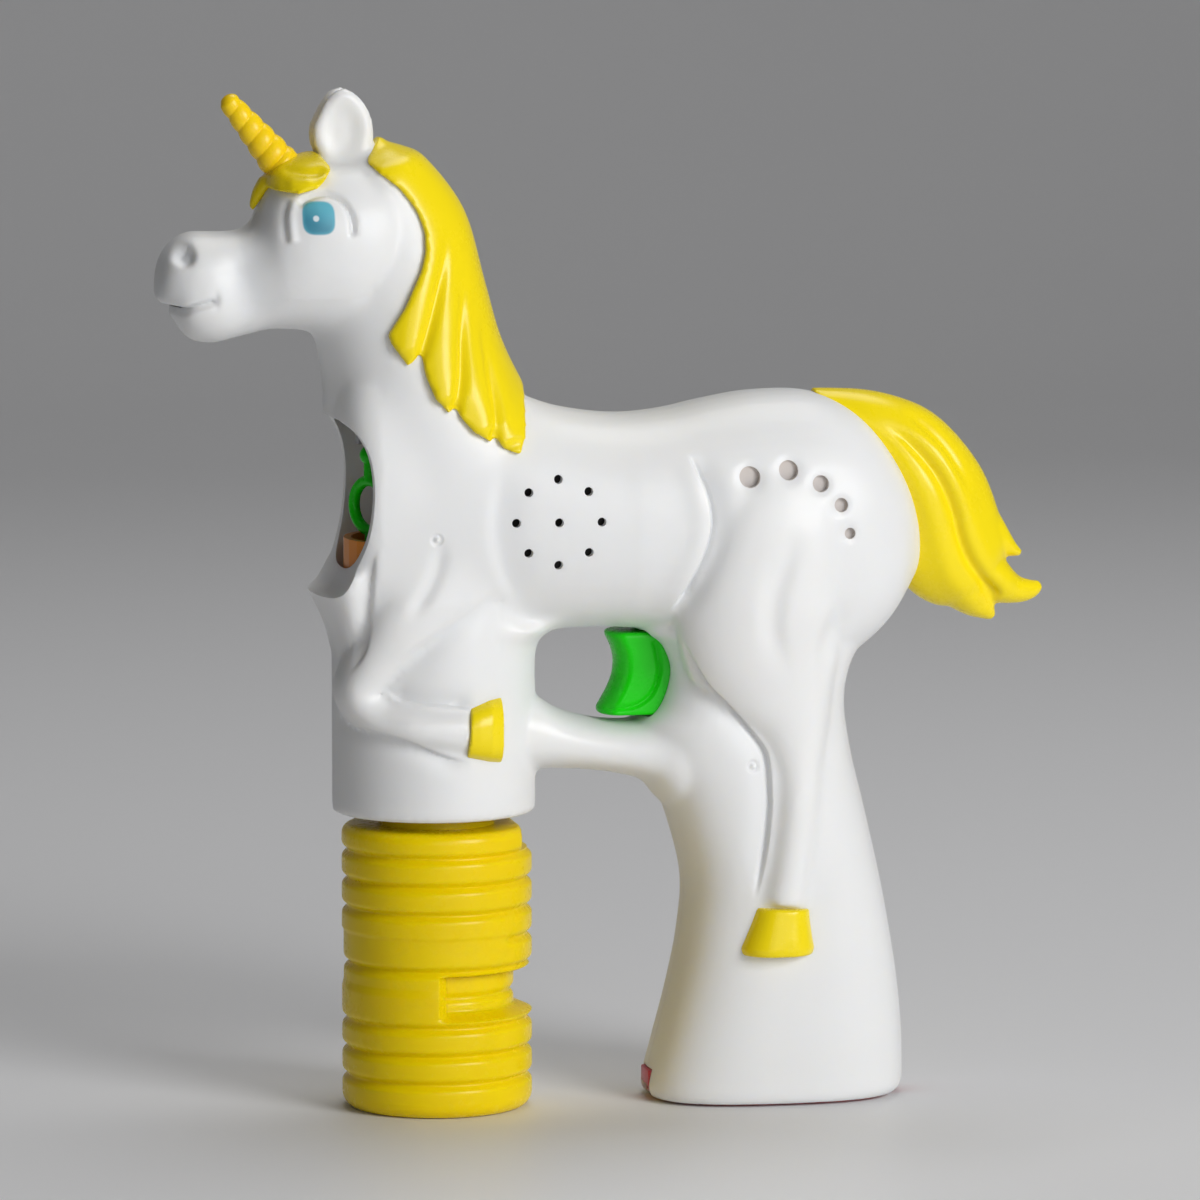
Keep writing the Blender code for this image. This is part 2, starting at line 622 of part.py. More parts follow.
def tube_space():
    """The bore for the bottle, with a lip at its mouth and a shelf above the socket."""
    bore = TUBE_RADIUS - WALL
    lip = TUBE_BOTTOM + TUBE_LIP_HEIGHT
    shelf = SOCKET_TOP + GAP
    return turned(
        [(0.0, TUBE_TOP), (bore, TUBE_TOP), (bore, shelf + SHELF_THICKNESS),
         (SHELF_INNER_RADIUS, shelf + SHELF_THICKNESS), (SHELF_INNER_RADIUS, shelf), (bore, shelf), (bore, lip),
         (bore - TUBE_LIP_DEPTH, lip), (bore - TUBE_LIP_DEPTH, TUBE_BOTTOM - 8.0), (0.0, TUBE_BOTTOM - 8.0)],
        (TUBE_X, 0.0, 0.0), steps=24)


def mouth_cutter():
    """The oval chest opening, cut along X."""
    cutter = rod((-75.0, 0.0, 0.0), (NOZZLE_FRONT + 1.2, 0.0, 0.0), 1.0, 32)
    cutter.data.transform(Matrix.Diagonal((1.0, MOUTH_HALF_WIDTH, MOUTH_HALF_HEIGHT, 1.0)))
    cutter.data.transform(Matrix.Translation((0.0, 0.0, MOUTH_Z * MM)))
    return cutter


def hole_cutters():
    """Sound holes in the left flank and vents in both sides of the rump."""
    holes = [(SPEAKER_X, SPEAKER_Z, SOUND_HOLE_RADIUS, -1.0)]
    for k in range(SOUND_HOLE_COUNT):
        angle = 2.0 * math.pi * k / SOUND_HOLE_COUNT
        x = SPEAKER_X + SOUND_HOLE_CIRCLE * math.cos(angle)
        z = SPEAKER_Z + SOUND_HOLE_CIRCLE * math.sin(angle)
        holes.append((x, z, SOUND_HOLE_RADIUS, -1.0))
    for x, z, radius in RUMP_VENTS:
        holes.append((x, z, radius, -1.0))
        holes.append((x, z, radius, 1.0))
    return [rod((x, side * 14.5, z), (x, side * 32.0, z), radius, 8) for x, z, radius, side in holes]


def casing_cutters():
    """Every opening that both halves share."""
    clip_slot = (-CLIP_HALF_WIDTH - GAP, CLIP_HALF_WIDTH + GAP)
    cutters = [
        mouth_cutter(),
        box(TRIGGER_SLOT[:2], (-TRIGGER_HALF_WIDTH - GAP, TRIGGER_HALF_WIDTH + GAP), TRIGGER_SLOT[2:]),
        box((-70.0, -9.0), (-40.0, 40.0), (30.0, TUBE_BOTTOM)),
        box((0.0, 80.0), (-40.0, 40.0), (-20.0, BASE_EDGE)),
        box((0.0, DOOR_FRONT + 1.6 + GAP), clip_slot, (-5.0, CLIP_TOP + GAP)),
        box((DOOR_REAR - 1.6 - GAP, DOOR_REAR + 10.0), clip_slot, (-5.0, CLIP_TOP + GAP)),
        rod(HORN_BASE - HORN_AXIS * (HORN_PLUG + GAP), HORN_BASE + HORN_AXIS * 9.0, HORN_BASE_RADIUS + GAP, 20),
        rod((DOOR_SCREW_X, DOOR_SCREW_Y, -5.0), (DOOR_SCREW_X, DOOR_SCREW_Y, 12.0), SCREW_RADIUS + GAP, 12),
    ]
    speaker_seat = rod(
        (SPEAKER_X, SPEAKER_FRONT_Y - GAP, SPEAKER_Z),
        (SPEAKER_X, SPEAKER_FRONT_Y + SPEAKER_DEPTH, SPEAKER_Z), SPEAKER_RADIUS + 0.8 * GAP, 20)
    return cutters + [speaker_seat] + hole_cutters()


def make_casing(body, hollow, white):
    """Two shell halves that meet at the middle plane, with their screw holes."""
    space = duplicate(hollow, "space")
    fuse(space, tube_space())
    cut(space, *casing_ribs())
    shell = duplicate(body, "shell")
    cut(shell, space)
    cut(shell, *casing_cutters())
    cut(shell, plate(MANE_OUTLINE, (-40.0, 40.0)), plate(FORELOCK_OUTLINE, (-40.0, 40.0)))
    right = duplicate(shell, "right")
    cut(shell, box((-120.0, 120.0), (-GAP / 2.0, 60.0), (-20.0, 240.0)))
    cut(right, box((-120.0, 120.0), (-60.0, GAP / 2.0), (-20.0, 240.0)))
    for _, x, z in SCREW_PLACES:
        cut(shell, rod((x, SCREW_TIP_Y - GAP, z), (x, 1.0, z), SCREW_RADIUS + GAP, 8))
        cut(right, rod((x, -1.0, z), (x, SCREW_SEAT_Y + 1.0, z), SCREW_RADIUS + GAP, 8))
        cut(right, rod((x, SCREW_SEAT_Y, z), (x, 40.0, z), SCREW_HEAD_RADIUS + GAP, 10))
    place(shell, "left_casing", white)
    place(right, "right_casing", white)


def make_screws(steel):
    for name, x, z in SCREW_PLACES:
        seat = SCREW_SEAT_Y + GAP
        head = SCREW_HEAD_RADIUS
        screw = turned(
            [(0.0, seat + SCREW_HEAD_HEIGHT), (head * 0.7, seat + SCREW_HEAD_HEIGHT),
             (head, seat + SCREW_HEAD_HEIGHT * 0.6), (head, seat), (SCREW_RADIUS, seat),
             (SCREW_RADIUS, SCREW_TIP_Y + 1.5), (0.0, SCREW_TIP_Y)],
            (x, 0.0, z), (0.0, 1.0, 0.0), 8)
        place(screw, "casing_screw_" + name, steel)


# Trim

def make_hair(hollow, yellow):
    """Mane and forelock: saddle pieces that stand proud of the shell they are let into."""
    for name, outline, rise in (
            ("mane", MANE_OUTLINE, MANE_RISE), ("forelock", FORELOCK_OUTLINE, FORELOCK_RISE)):
        hair = melt(body_forms(-rise), name, BODY_VOXEL, BODY_SMOOTHING, BODY_TRIANGLES)
        combine(hair, plate(spread(outline, -GAP), (-40.0, 40.0)), "INTERSECT")
        cut(hair, hollow, keep=True)
        if name == "forelock":
            reach = HORN_AXIS * 9.0
            cut(hair, rod(HORN_BASE - reach, HORN_BASE + reach, HORN_BASE_RADIUS + GAP, 20))
        place(hair, name, yellow)


def make_tail(body, yellow):
    tail = loft(edge_sections(blend_rows(TAIL_ROWS, 2)), 2.0, 12)
    for rows in TAIL_TIPS:
        fuse(tail, loft(limb_sections(blend_rows(rows, 2), 1.0), 2.0, 8))
    cut(tail, swollen(body, "seat", SEAT_GAP))
    place(tail, "tail", yellow)


def make_hooves(body, yellow):
    for side, label in ((-1.0, "left"), (1.0, "right")):
        front = [
            (Vector((-31.2, side * 15.0, 79.6)), Vector((0.0, 0.0, 5.8)), 8.4),
            (Vector((-27.5, side * 14.5, 79.6)), Vector((0.0, 0.0, 6.9)), 8.4),
            (Vector((-23.6, side * 13.0, 79.6)), Vector((0.0, 0.0, 7.5)), 8.2),
        ]
        hind = [
            (Vector((35.0, side * 12.0, 41.9)), Vector((6.3, 0.0, 0.0)), 8.8),
            (Vector((34.4, side * 12.0, 37.0)), Vector((7.2, 0.0, 0.0)), 9.4),
            (Vector((34.0, side * 12.0, 33.6)), Vector((8.2, 0.0, 0.0)), 9.8),
            (Vector((34.0, side * 12.0, 31.6)), Vector((7.6, 0.0, 0.0)), 9.2),
        ]
        for place_name, sections in (("front", front), ("hind", hind)):
            hoof = loft(sections, 2.6, 20)
            cut(hoof, swollen(body, "seat", SEAT_GAP))
            middle = box((-120.0, 120.0), sorted((side * -2.0, side * -40.0)), (-20.0, 240.0))
            cut(hoof, middle)
            place(hoof, "hoof_" + place_name + "_" + label, yellow)


def make_horn(amber, lamp_finish):
    """A twisted horn on its plug, hollowed below for the lamp."""
    profile = [(0.0, HORN_LENGTH)]
    rings = HORN_TURNS * 3
    for k in range(rings + 1):
        share = 1.0 - k / rings
        radius = HORN_BASE_RADIUS + (HORN_TIP_RADIUS - HORN_BASE_RADIUS) * share
        swell = 1.0 - 0.13 * (1.0 + math.cos(2.0 * math.pi * k / 3.0)) / 2.0
        profile.append((radius * swell, HORN_LENGTH * share - (0.8 if k == 0 else 0.0)))
    profile += [(HORN_BASE_RADIUS, -0.2), (HORN_BASE_RADIUS, -HORN_PLUG), (0.0, -HORN_PLUG)]
    horn = turned(profile, HORN_BASE, HORN_AXIS, 12)
    lamp_top = LAMP_LENGTH - HORN_PLUG
    lamp_hole = rod(
        HORN_BASE - HORN_AXIS * (HORN_PLUG + 1.0), HORN_BASE + HORN_AXIS * (lamp_top + GAP),
        LAMP_RADIUS + GAP, 14)
    cut(horn, lamp_hole)
    place(horn, "horn", amber)
    lamp = turned(
        [(0.0, LAMP_LENGTH), (LAMP_RADIUS * 0.7, LAMP_LENGTH - 0.5), (LAMP_RADIUS, LAMP_LENGTH - 1.5),
         (LAMP_RADIUS, 0.0), (0.0, 0.0)], HORN_BASE - HORN_AXIS * HORN_PLUG, HORN_AXIS, 12)
    place(lamp, "horn_lamp", lamp_finish)


# Bottle

def half_ring(inner, outer, low, high, start_x):
    """The rear half of a ring about the bottle's axis."""
    ring = ring_solid(inner, outer, (BOTTLE_X, 0.0, low), (0.0, 0.0, 1.0), high - low, 20)
    return cut(ring, box((-90.0, start_x), (-40.0, 40.0), (low - 2.0, high + 2.0)))


def make_bottle(amber):
    side = []
    for k in range(GROOVE_COUNT):
        z = GROOVE_TOP - GROOVE_PITCH * k
        side += [(BOTTLE_RADIUS, z + GROOVE_DEPTH), (BOTTLE_RADIUS - GROOVE_DEPTH, z)]
        side.append((BOTTLE_RADIUS, z - GROOVE_DEPTH))
    neck = BOTTLE_NECK_RADIUS
    outer = [(0.0, BOTTLE_NECK_TOP), (neck, BOTTLE_NECK_TOP), (neck, BOTTLE_SHOULDER)]
    outer += [(BOTTLE_RADIUS - 2.0, BOTTLE_SHOULDER), (BOTTLE_RADIUS, BOTTLE_SHOULDER - 1.8)] + side
    outer += [(BOTTLE_RADIUS, 3.2), (BOTTLE_RADIUS - 0.9, 0.9), (BOTTLE_BASE_RADIUS, 0.0), (0.0, 0.0)]
    bottle = turned(outer, (BOTTLE_X, 0.0, 0.0), steps=18)
    inner = BOTTLE_RADIUS - GROOVE_DEPTH - BOTTLE_WALL
    roof = BOTTLE_SHOULDER - BOTTLE_WALL
    space = turned(
        [(0.0, BOTTLE_NECK_TOP + 2.0), (BOTTLE_BORE_RADIUS, BOTTLE_NECK_TOP + 2.0),
         (BOTTLE_BORE_RADIUS, roof), (inner - 2.0, roof), (inner, roof - 2.0),
         (inner, BOTTLE_FLOOR), (0.0, BOTTLE_FLOOR)],
        (BOTTLE_X, 0.0, 0.0), steps=16)
    for low, high in POCKET_BANDS:
        wall_top = min(high, roof) + BOTTLE_WALL
        wall_start = BOTTLE_X + POCKET_SETBACK - BOTTLE_WALL
        cut(space, half_ring(POCKET_RADIUS - BOTTLE_WALL, 30.0, low - BOTTLE_WALL, wall_top, wall_start))
        cut(bottle, half_ring(POCKET_RADIUS, 30.0, low, high, BOTTLE_X + POCKET_SETBACK))
    cut(bottle, space)
    place(bottle, "bottle", amber, (BOTTLE_X, 0.0, 0.0))


def make_bottle_seat(grey, rubber):
    inner = BOTTLE_NECK_RADIUS + GAP
    floor = TUBE_BOTTOM + TUBE_LIP_HEIGHT + GAP
    roof = SOCKET_TOP - SOCKET_PLATE
    socket = turned(
        [(0.0, SOCKET_TOP), (SOCKET_RADIUS, SOCKET_TOP), (SOCKET_RADIUS, floor), (inner, floor),
         (inner, roof), (0.0, roof)], (BOTTLE_X, 0.0, 0.0), steps=22)
    hose_hole = rod(
        (BOTTLE_X, HOSE_Y, roof - 2.0), (BOTTLE_X, HOSE_Y, SOCKET_TOP + 2.0), HOSE_RADIUS + GAP, 14)
    cut(socket, hose_hole)
    place(socket, "bottle_socket", grey)
    seal = ring_solid(SEAL_INNER_RADIUS, BOTTLE_NECK_RADIUS, (BOTTLE_X, 0.0, roof - GAP - SEAL_THICKNESS),
                      (0.0, 0.0, 1.0), SEAL_THICKNESS, 18)
    place(seal, "bottle_seal", rubber)


# Bubble works

def smooth_path(points, steps=2):
    return blend_rows([tuple(p) for p in points], steps)


def make_hoses(clear):
    """Suction hose from the bottle round the pump, and feed hose from the pump to the ring."""
    hose_x = (PUMP_FRONT + PUMP_REAR - PUMP_PLATE) / 2.0
    loop = []
    for k in range(9):
        angle = math.radians(200.0 - 220.0 * k / 8.0)
        y = PUMP_HOSE_CIRCLE * math.cos(angle)
        loop.append((hose_x, y, PUMP_Z + PUMP_HOSE_CIRCLE * math.sin(angle)))
    rise = [(BOTTLE_X, HOSE_Y, 6.0), (BOTTLE_X, HOSE_Y, 40.0), (BOTTLE_X, HOSE_Y, 82.0)]
    route = [(BOTTLE_X + 2.0, 1.0, 92.0), (-27.5, -4.0, 99.6), (-20.0, -5.5, 103.2), (-6.0, -5.5, 104.0),
             (10.0, -5.5, 103.6), (20.0, -7.0, 102.6), (hose_x - 2.0, -8.2, 104.4)]
    middle = len(loop) // 2
    suction = smooth_path(rise + route + loop[:middle + 1])
    place(wire(suction, HOSE_RADIUS, "suction_hose"), "suction_hose", clear)
    start = loop[middle + 1:]
    run = [(hose_x, 8.8, 105.4), (hose_x - 1.2, 7.0, 101.6), (hose_x - 5.0, 3.0, 100.2), (20.0, 0.8, 100.8),
           (14.0, 0.8, 102.8), (4.0, 1.4, 103.2), (-8.0, 1.6, 103.2), (-20.0, 1.6, 103.2), (-27.5, 1.8, 104.2),
           (-31.8, 3.0, 108.0), (-33.0, 8.0, 112.0), (-33.4, 11.5, 118.0), (-35.0, 11.5, 127.0),
           (-39.0, 8.0, 134.4), (-44.0, 4.6, 136.6), (-46.8, 4.4, 136.0)]
    place(wire(smooth_path(start + run), HOSE_RADIUS, "feed_hose"), "feed_hose", clear)


def crank_pin_place():
    """Rest place of the crank pin: half the trigger's travel ahead of the ring's pivot."""
    lead = TRIGGER_TRAVEL / 2.0
    return RING_X - lead, math.sqrt(CRANK_RADIUS ** 2 - lead ** 2)


def make_ring(green):
    """The bubble ring on its upright pivot, with a crank below the drip tray."""
    normal = Vector((-math.cos(RING_TURN), -math.sin(RING_TURN), 0.0))
    centre = Vector((RING_X, 0.0, AIR_Z))
    ring = ring_solid(RING_BORE, RING_RADIUS, centre - normal, normal, 2.0, 20)
    shaft_top = AIR_Z - RING_BORE - 0.5
    knob = RING_KNOB_RADIUS
    pin_x, pin_y = crank_pin_place()
    crank_middle = CRANK_Z + CRANK_THICKNESS / 2.0
    fuse(
        ring,
        rod((RING_X, 0.0, CRANK_Z), (RING_X, 0.0, shaft_top), RING_SHAFT_RADIUS, 12),
        rod((RING_X, 0.0, AIR_Z + RING_BORE + 0.5), (RING_X, 0.0, RING_KNOB_Z), RING_SHAFT_RADIUS * 1.15, 12),
        turned([(0.0, knob), (knob * 0.7, knob * 0.7), (knob, 0.0), (knob * 0.7, -knob * 0.7), (0.0, -knob)],
               (RING_X, 0.0, RING_KNOB_Z), steps=10),
        rod((RING_X, 0.0, RING_KNOB_Z), (RING_X, 0.0, RING_KNOB_Z + 4.2), RING_SHAFT_RADIUS * 0.9, 10),
        rod((RING_X + 0.5, -0.8, crank_middle), (pin_x, pin_y, crank_middle), CRANK_THICKNESS / 2.0, 8),
        rod((pin_x, pin_y, CRANK_Z), (pin_x, pin_y, ROD_Z + 1.6), CRANK_PIN_RADIUS, 10))
    place(ring, "bubble_ring", green, centre)


def make_tray(orange):
    """A cup against the inside of the tube that catches drips below the ring."""
    outer = TUBE_RADIUS - WALL - GAP
    tray = turned(
        [(outer, 117.5), (outer, 107.6), (0.0, 107.6), (0.0, 109.0), (outer - 1.5, 109.0),
         (outer - 1.5, 117.5), (outer, 117.5)], (TUBE_X, 0.0, 0.0), steps=32)
    cut(tray, box((-42.0, 0.0), (-40.0, 40.0), (100.0, 130.0)))
    rear = box((-42.6, -41.6), (-14.0, 14.0), (107.9, 113.0))
    fuse(tray, rear)
    cut(tray, rod((RING_X, 0.0, 105.0), (RING_X, 0.0, 112.0), RING_SHAFT_RADIUS + GAP, 12))
    place(tray, "drip_tray", orange)


def make_air_line(grey, steel, black):
    """Nozzle and fan housing in one, with the arm that holds the ring's upper pivot."""
    inner = FAN_HOUSING_RADIUS - FAN_HOUSING_WALL
    rear = FAN_HOUSING_REAR
    housing = turned(
        [(NOZZLE_BORE, -NOZZLE_FRONT), (NOZZLE_RADIUS, -NOZZLE_FRONT),
         (NOZZLE_RADIUS, -FAN_HOUSING_FRONT + 6.0), (FAN_HOUSING_RADIUS, -FAN_HOUSING_FRONT),
         (FAN_HOUSING_RADIUS, -rear), (5.0, -rear),
         (5.0, -rear + FAN_HOUSING_WALL), (inner, -rear + FAN_HOUSING_WALL), (inner, -FAN_HOUSING_FRONT),
         (NOZZLE_BORE, -FAN_HOUSING_FRONT + 6.0), (NOZZLE_BORE, -NOZZLE_FRONT)],
        (0.0, 0.0, AIR_Z), (-1.0, 0.0, 0.0), 18)
    for k in range(4):
        angle = math.pi * (0.25 + 0.5 * k)
        y = 8.2 * math.cos(angle)
        z = AIR_Z + 8.2 * math.sin(angle)
        cut(housing, rod((rear - 3.0, y, z), (rear + 3.0, y, z), 2.4, 8))
    arm_z = RING_KNOB_Z + RING_KNOB_RADIUS + GAP
    web = box((-41.0, -38.6), (-1.6, 1.6), (AIR_Z + NOZZLE_RADIUS - 0.7, arm_z + 0.5))
    arm = box((RING_X - 2.6, -38.6), (-2.0, 2.0), (arm_z, arm_z + 1.8))
    fuse(housing, fuse(web, arm))
    pivot_radius = RING_SHAFT_RADIUS * 0.9 + GAP
    cut(housing, rod((RING_X, 0.0, arm_z - 1.0), (RING_X, 0.0, arm_z + 4.0), pivot_radius, 12))
    place(housing, "fan_housing", grey)

    fan = ring_solid(SHAFT_RADIUS + GAP, 3.6, (FAN_X, 0.0, AIR_Z), (1.0, 0.0, 0.0), FAN_LENGTH, 18)
    half_blade = FAN_LENGTH / 2.0 - 0.4
    middle = Matrix.Translation(Vector((FAN_X + FAN_LENGTH / 2.0, 0.0, AIR_Z)) * MM)
    for k in range(FAN_BLADES):
        blade = box((-half_blade, half_blade), (3.0, FAN_RADIUS), (-0.6, 0.6))
        turn = Matrix.Rotation(2.0 * math.pi * k / FAN_BLADES, 4, "X")
        blade.data.transform(middle @ turn @ Matrix.Rotation(FAN_PITCH, 4, "Y"))
        fuse(fan, blade)
    place(fan, "fan", black, (FAN_X, 0.0, AIR_Z))

    motor = rod((MOTOR_FRONT, 0.0, AIR_Z), (MOTOR_FRONT + MOTOR_LENGTH, 0.0, AIR_Z), MOTOR_RADIUS, 20)
    for side in (-1.0, 1.0):
        cut(motor, box((-30.0, 30.0), sorted((side * MOTOR_FLAT, side * 20.0)), (100.0, 150.0)))
    cut(motor, rod((-40.0, 0.0, AIR_Z), (40.0, 0.0, AIR_Z), SHAFT_RADIUS + GAP, 14))
    place(motor, "motor", steel)
    shaft = rod((SHAFT_FRONT, 0.0, AIR_Z), (SHAFT_REAR, 0.0, AIR_Z), SHAFT_RADIUS, 14)
    place(shaft, "motor_shaft", steel, (0.0, 0.0, AIR_Z))


def gear_outline(teeth, backlash=0.16):
    """Points (y, z) round a spur gear whose teeth are involutes of a 20 degree rack."""
    pitch = GEAR_MODULE * teeth / 2.0
    base = pitch * math.cos(math.radians(20.0))
    tip = pitch + 0.85 * GEAR_MODULE
    root = pitch - 1.2 * GEAR_MODULE
    half_pitch = math.pi / (2.0 * teeth) - backlash / (2.0 * pitch)
    involute_at_pitch = math.tan(math.radians(20.0)) - math.radians(20.0)
    flank = []
    for k in range(2):
        radius = pitch - 0.3 * GEAR_MODULE + (tip - pitch + 0.3 * GEAR_MODULE) * k
        slope = math.acos(min(1.0, base / radius))
        flank.append((radius, half_pitch + involute_at_pitch - (math.tan(slope) - slope)))
    outline = []
    for n in range(teeth):
        middle = 2.0 * math.pi * n / teeth
        sides = [(root, middle - flank[0][1])] + [(r, middle - a) for r, a in flank]
        sides += [(r, middle + a) for r, a in reversed(flank)] + [(root, middle + flank[0][1])]
        outline += [(r * math.cos(a), r * math.sin(a)) for r, a in sides]
    return outline


def gear_blank(teeth, start, width, turn):
    """A gear on an axis along X, turned so that its teeth can be set against another's."""
    bm = bmesh.new()
    face = bm.faces.new([bm.verts.new((0.0, y, z)) for y, z in gear_outline(teeth)])
    made = bmesh.ops.extrude_face_region(bm, geom=[face])
    moved = [v for v in made["geom"] if isinstance(v, bmesh.types.BMVert)]
    bmesh.ops.translate(bm, verts=moved, vec=(width, 0.0, 0.0))
    gear = object_from(bm, "gear", CUTTERS)
    gear.data.transform(Matrix.Rotation(turn, 4, "X"))
    gear.data.transform(Matrix.Translation(Vector(start) * MM))
    return gear


def make_gears(white_gear, steel, grey):
    pinion = gear_blank(PINION_TEETH, (GEAR_FRONT, 0.0, AIR_Z), GEAR_WIDTH, math.radians(-90.0))
    bore = SHAFT_RADIUS + GAP
    cut(pinion, rod((GEAR_FRONT - 2.0, 0.0, AIR_Z), (GEAR_FRONT + 9.0, 0.0, AIR_Z), bore, 14))
    place(pinion, "motor_pinion", white_gear, (GEAR_FRONT, 0.0, AIR_Z))
    half_tooth = math.pi / PUMP_TEETH
    turn = math.radians(90.0) + half_tooth
    rotor = gear_blank(PUMP_TEETH, (GEAR_FRONT, 0.0, PUMP_Z), GEAR_WIDTH, turn)
    rear = PUMP_REAR - PUMP_PLATE - 0.8
    for k in range(PUMP_PEGS):
        angle = 2.0 * math.pi * k / PUMP_PEGS
        y = PUMP_PEG_CIRCLE * math.cos(angle)
        z = PUMP_Z + PUMP_PEG_CIRCLE * math.sin(angle)
        fuse(rotor, rod((GEAR_FRONT + 1.0, y, z), (rear, y, z), PUMP_PEG_RADIUS, 12))
    cut(rotor, rod((GEAR_FRONT - 2.0, 0.0, PUMP_Z), (PUMP_REAR, 0.0, PUMP_Z), bore, 14))
    place(rotor, "pump_rotor", white_gear, (GEAR_FRONT, 0.0, PUMP_Z))

    housing = turned(
        [(PUMP_BORE, -PUMP_FRONT), (PUMP_RADIUS, -PUMP_FRONT), (PUMP_RADIUS, -PUMP_REAR),
         (bore, -PUMP_REAR), (bore, -PUMP_REAR + PUMP_PLATE),
         (PUMP_BORE, -PUMP_REAR + PUMP_PLATE), (PUMP_BORE, -PUMP_FRONT)],
        (0.0, 0.0, PUMP_Z), (-1.0, 0.0, 0.0), 22)
    hose_way = box(
        (PUMP_FRONT - 2.0, PUMP_REAR - PUMP_PLATE), (-14.0, 14.0), (PUMP_Z - 20.0, PUMP_Z - 4.0))
    cut(housing, hose_way)
    place(housing, "pump_housing", grey)
    axle = rod((GEAR_FRONT - 1.2, 0.0, PUMP_Z), (PUMP_REAR, 0.0, PUMP_Z), SHAFT_RADIUS, 14)
    place(axle, "pump_axle", steel)


# Trigger

def make_trigger(green, steel, black):
    trigger = plate(TRIGGER_OUTLINE, (-TRIGGER_HALF_WIDTH, TRIGGER_HALF_WIDTH))
    soft = trigger.modifiers.new("soft", "BEVEL")
    soft.width = 0.9 * MM
    soft.segments = 2
    soft.limit_method = "ANGLE"
    soft.angle_limit = math.radians(40.0)
    bake(trigger)
    rod_y = 4.4
    seat_z = 92.0
    post_hole = rod((ROD_POST_X, rod_y, seat_z - GAP), (ROD_POST_X, rod_y, 110.0), ROD_RADIUS + GAP, 12)
    cut(trigger, post_hole)
    place(trigger, "trigger", green, (0.0, 0.0, 89.0))
    pin_x, pin_y = crank_pin_place()
    eye_y = (pin_y + CRANK_RADIUS) / 2.0
    path = [(ROD_POST_X, rod_y, seat_z), (ROD_POST_X, rod_y, 101.0), (ROD_POST_X - 0.8, rod_y, 103.0),
            (ROD_POST_X - 3.0, rod_y + 0.3, ROD_Z), (6.0, eye_y, ROD_Z), (pin_x + 1.8, eye_y, ROD_Z)]
    arm = wire(path, ROD_RADIUS, "trigger_rod")
    fuse(arm, rod((pin_x, eye_y, ROD_Z - 1.0), (pin_x, eye_y, ROD_Z + 1.0), ROD_EYE_RADIUS, 16))
    cut(arm, rod((pin_x, eye_y, ROD_Z - 3.0), (pin_x, eye_y, ROD_Z + 3.0), CRANK_PIN_RADIUS + 0.45, 14))
    place(arm, "trigger_rod", steel, (0.0, 0.0, 89.0))

    start = TRIGGER_OUTLINE[0][0] + GAP + SPRING_WIRE
    end = SPRING_RIB[0] - GAP - SPRING_WIRE
    turns = 5
    points = []
    for k in range(turns * 8 + 1):
        angle = 2.0 * math.pi * k / 8.0
        x = start + (end - start) * k / (turns * 8)
        points.append((x, SPRING_RADIUS * math.cos(angle), SPRING_Z + SPRING_RADIUS * math.sin(angle)))
    place(wire(points, SPRING_WIRE, "trigger_spring", 0), "trigger_spring", steel)
    reach = TRIGGER_OUTLINE[0][0] + TRIGGER_TRAVEL + GAP
    switch = box((reach + 2.0, SPRING_RIB[0] - GAP), (-4.0, 4.0), (91.0, 96.6))
    fuse(switch, box((reach, reach + 2.5), (-1.5, 1.5), (92.6, 95.0)))
    place(switch, "trigger_switch", black)


# Batteries

def coil(centre, low, high, radius, turns, wire_radius, name):
    points = []
    for k in range(turns * 8 + 1):
        angle = 2.0 * math.pi * k / 8.0
        z = low + wire_radius + (high - low - 2.0 * wire_radius) * k / (turns * 8)
        points.append((centre[0] + radius * math.cos(angle), centre[1] + radius * math.sin(angle), z))
    return wire(points, wire_radius, name, 0)


def make_batteries(cell_finish, steel):
    top = CELL_FLOOR + CELL_LENGTH + NUB_LENGTH
    floor = DOOR_TOP + 2.0 * GAP + CONTACT_THICKNESS
    for number, (x, y, upright) in enumerate(CELL_PLACES, 1):
        if upright:
            low, high = CELL_FLOOR, CELL_FLOOR + CELL_LENGTH
            nub_low, nub_high = high, top
            spring_low, spring_high = floor + GAP, CELL_FLOOR - GAP
        else:
            nub_low = floor + GAP
            nub_high = nub_low + NUB_LENGTH
            low, high = nub_high, nub_high + CELL_LENGTH
            spring_low, spring_high = high + GAP, top
        sleeve = [(CELL_RADIUS, high), (CELL_RADIUS, low)]
        if upright:
            profile = [(0.0, nub_high), (NUB_RADIUS, nub_high), (NUB_RADIUS, high)] + sleeve + [(0.0, low)]
        else:
            profile = [(0.0, high)] + sleeve + [(NUB_RADIUS, low), (NUB_RADIUS, nub_low), (0.0, nub_low)]
        cell = turned(profile, (x, y, 0.0), steps=16)
        place(cell, "battery_cell_" + str(number), cell_finish)
        spring = coil((x, y), spring_low, spring_high, 3.0, 2, 0.4, "spring")
        place(spring, "battery_spring_" + str(number), steel)
    upper = box((24.0, 46.0), (-9.0, 9.0), (top + GAP, top + GAP + CONTACT_THICKNESS))
    place(upper, "upper_contact", steel)
    lower = box((22.0, 46.0), (-11.0, 11.0), (DOOR_TOP + GAP, DOOR_TOP + GAP + CONTACT_THICKNESS))
    place(lower, "door_contact", steel)


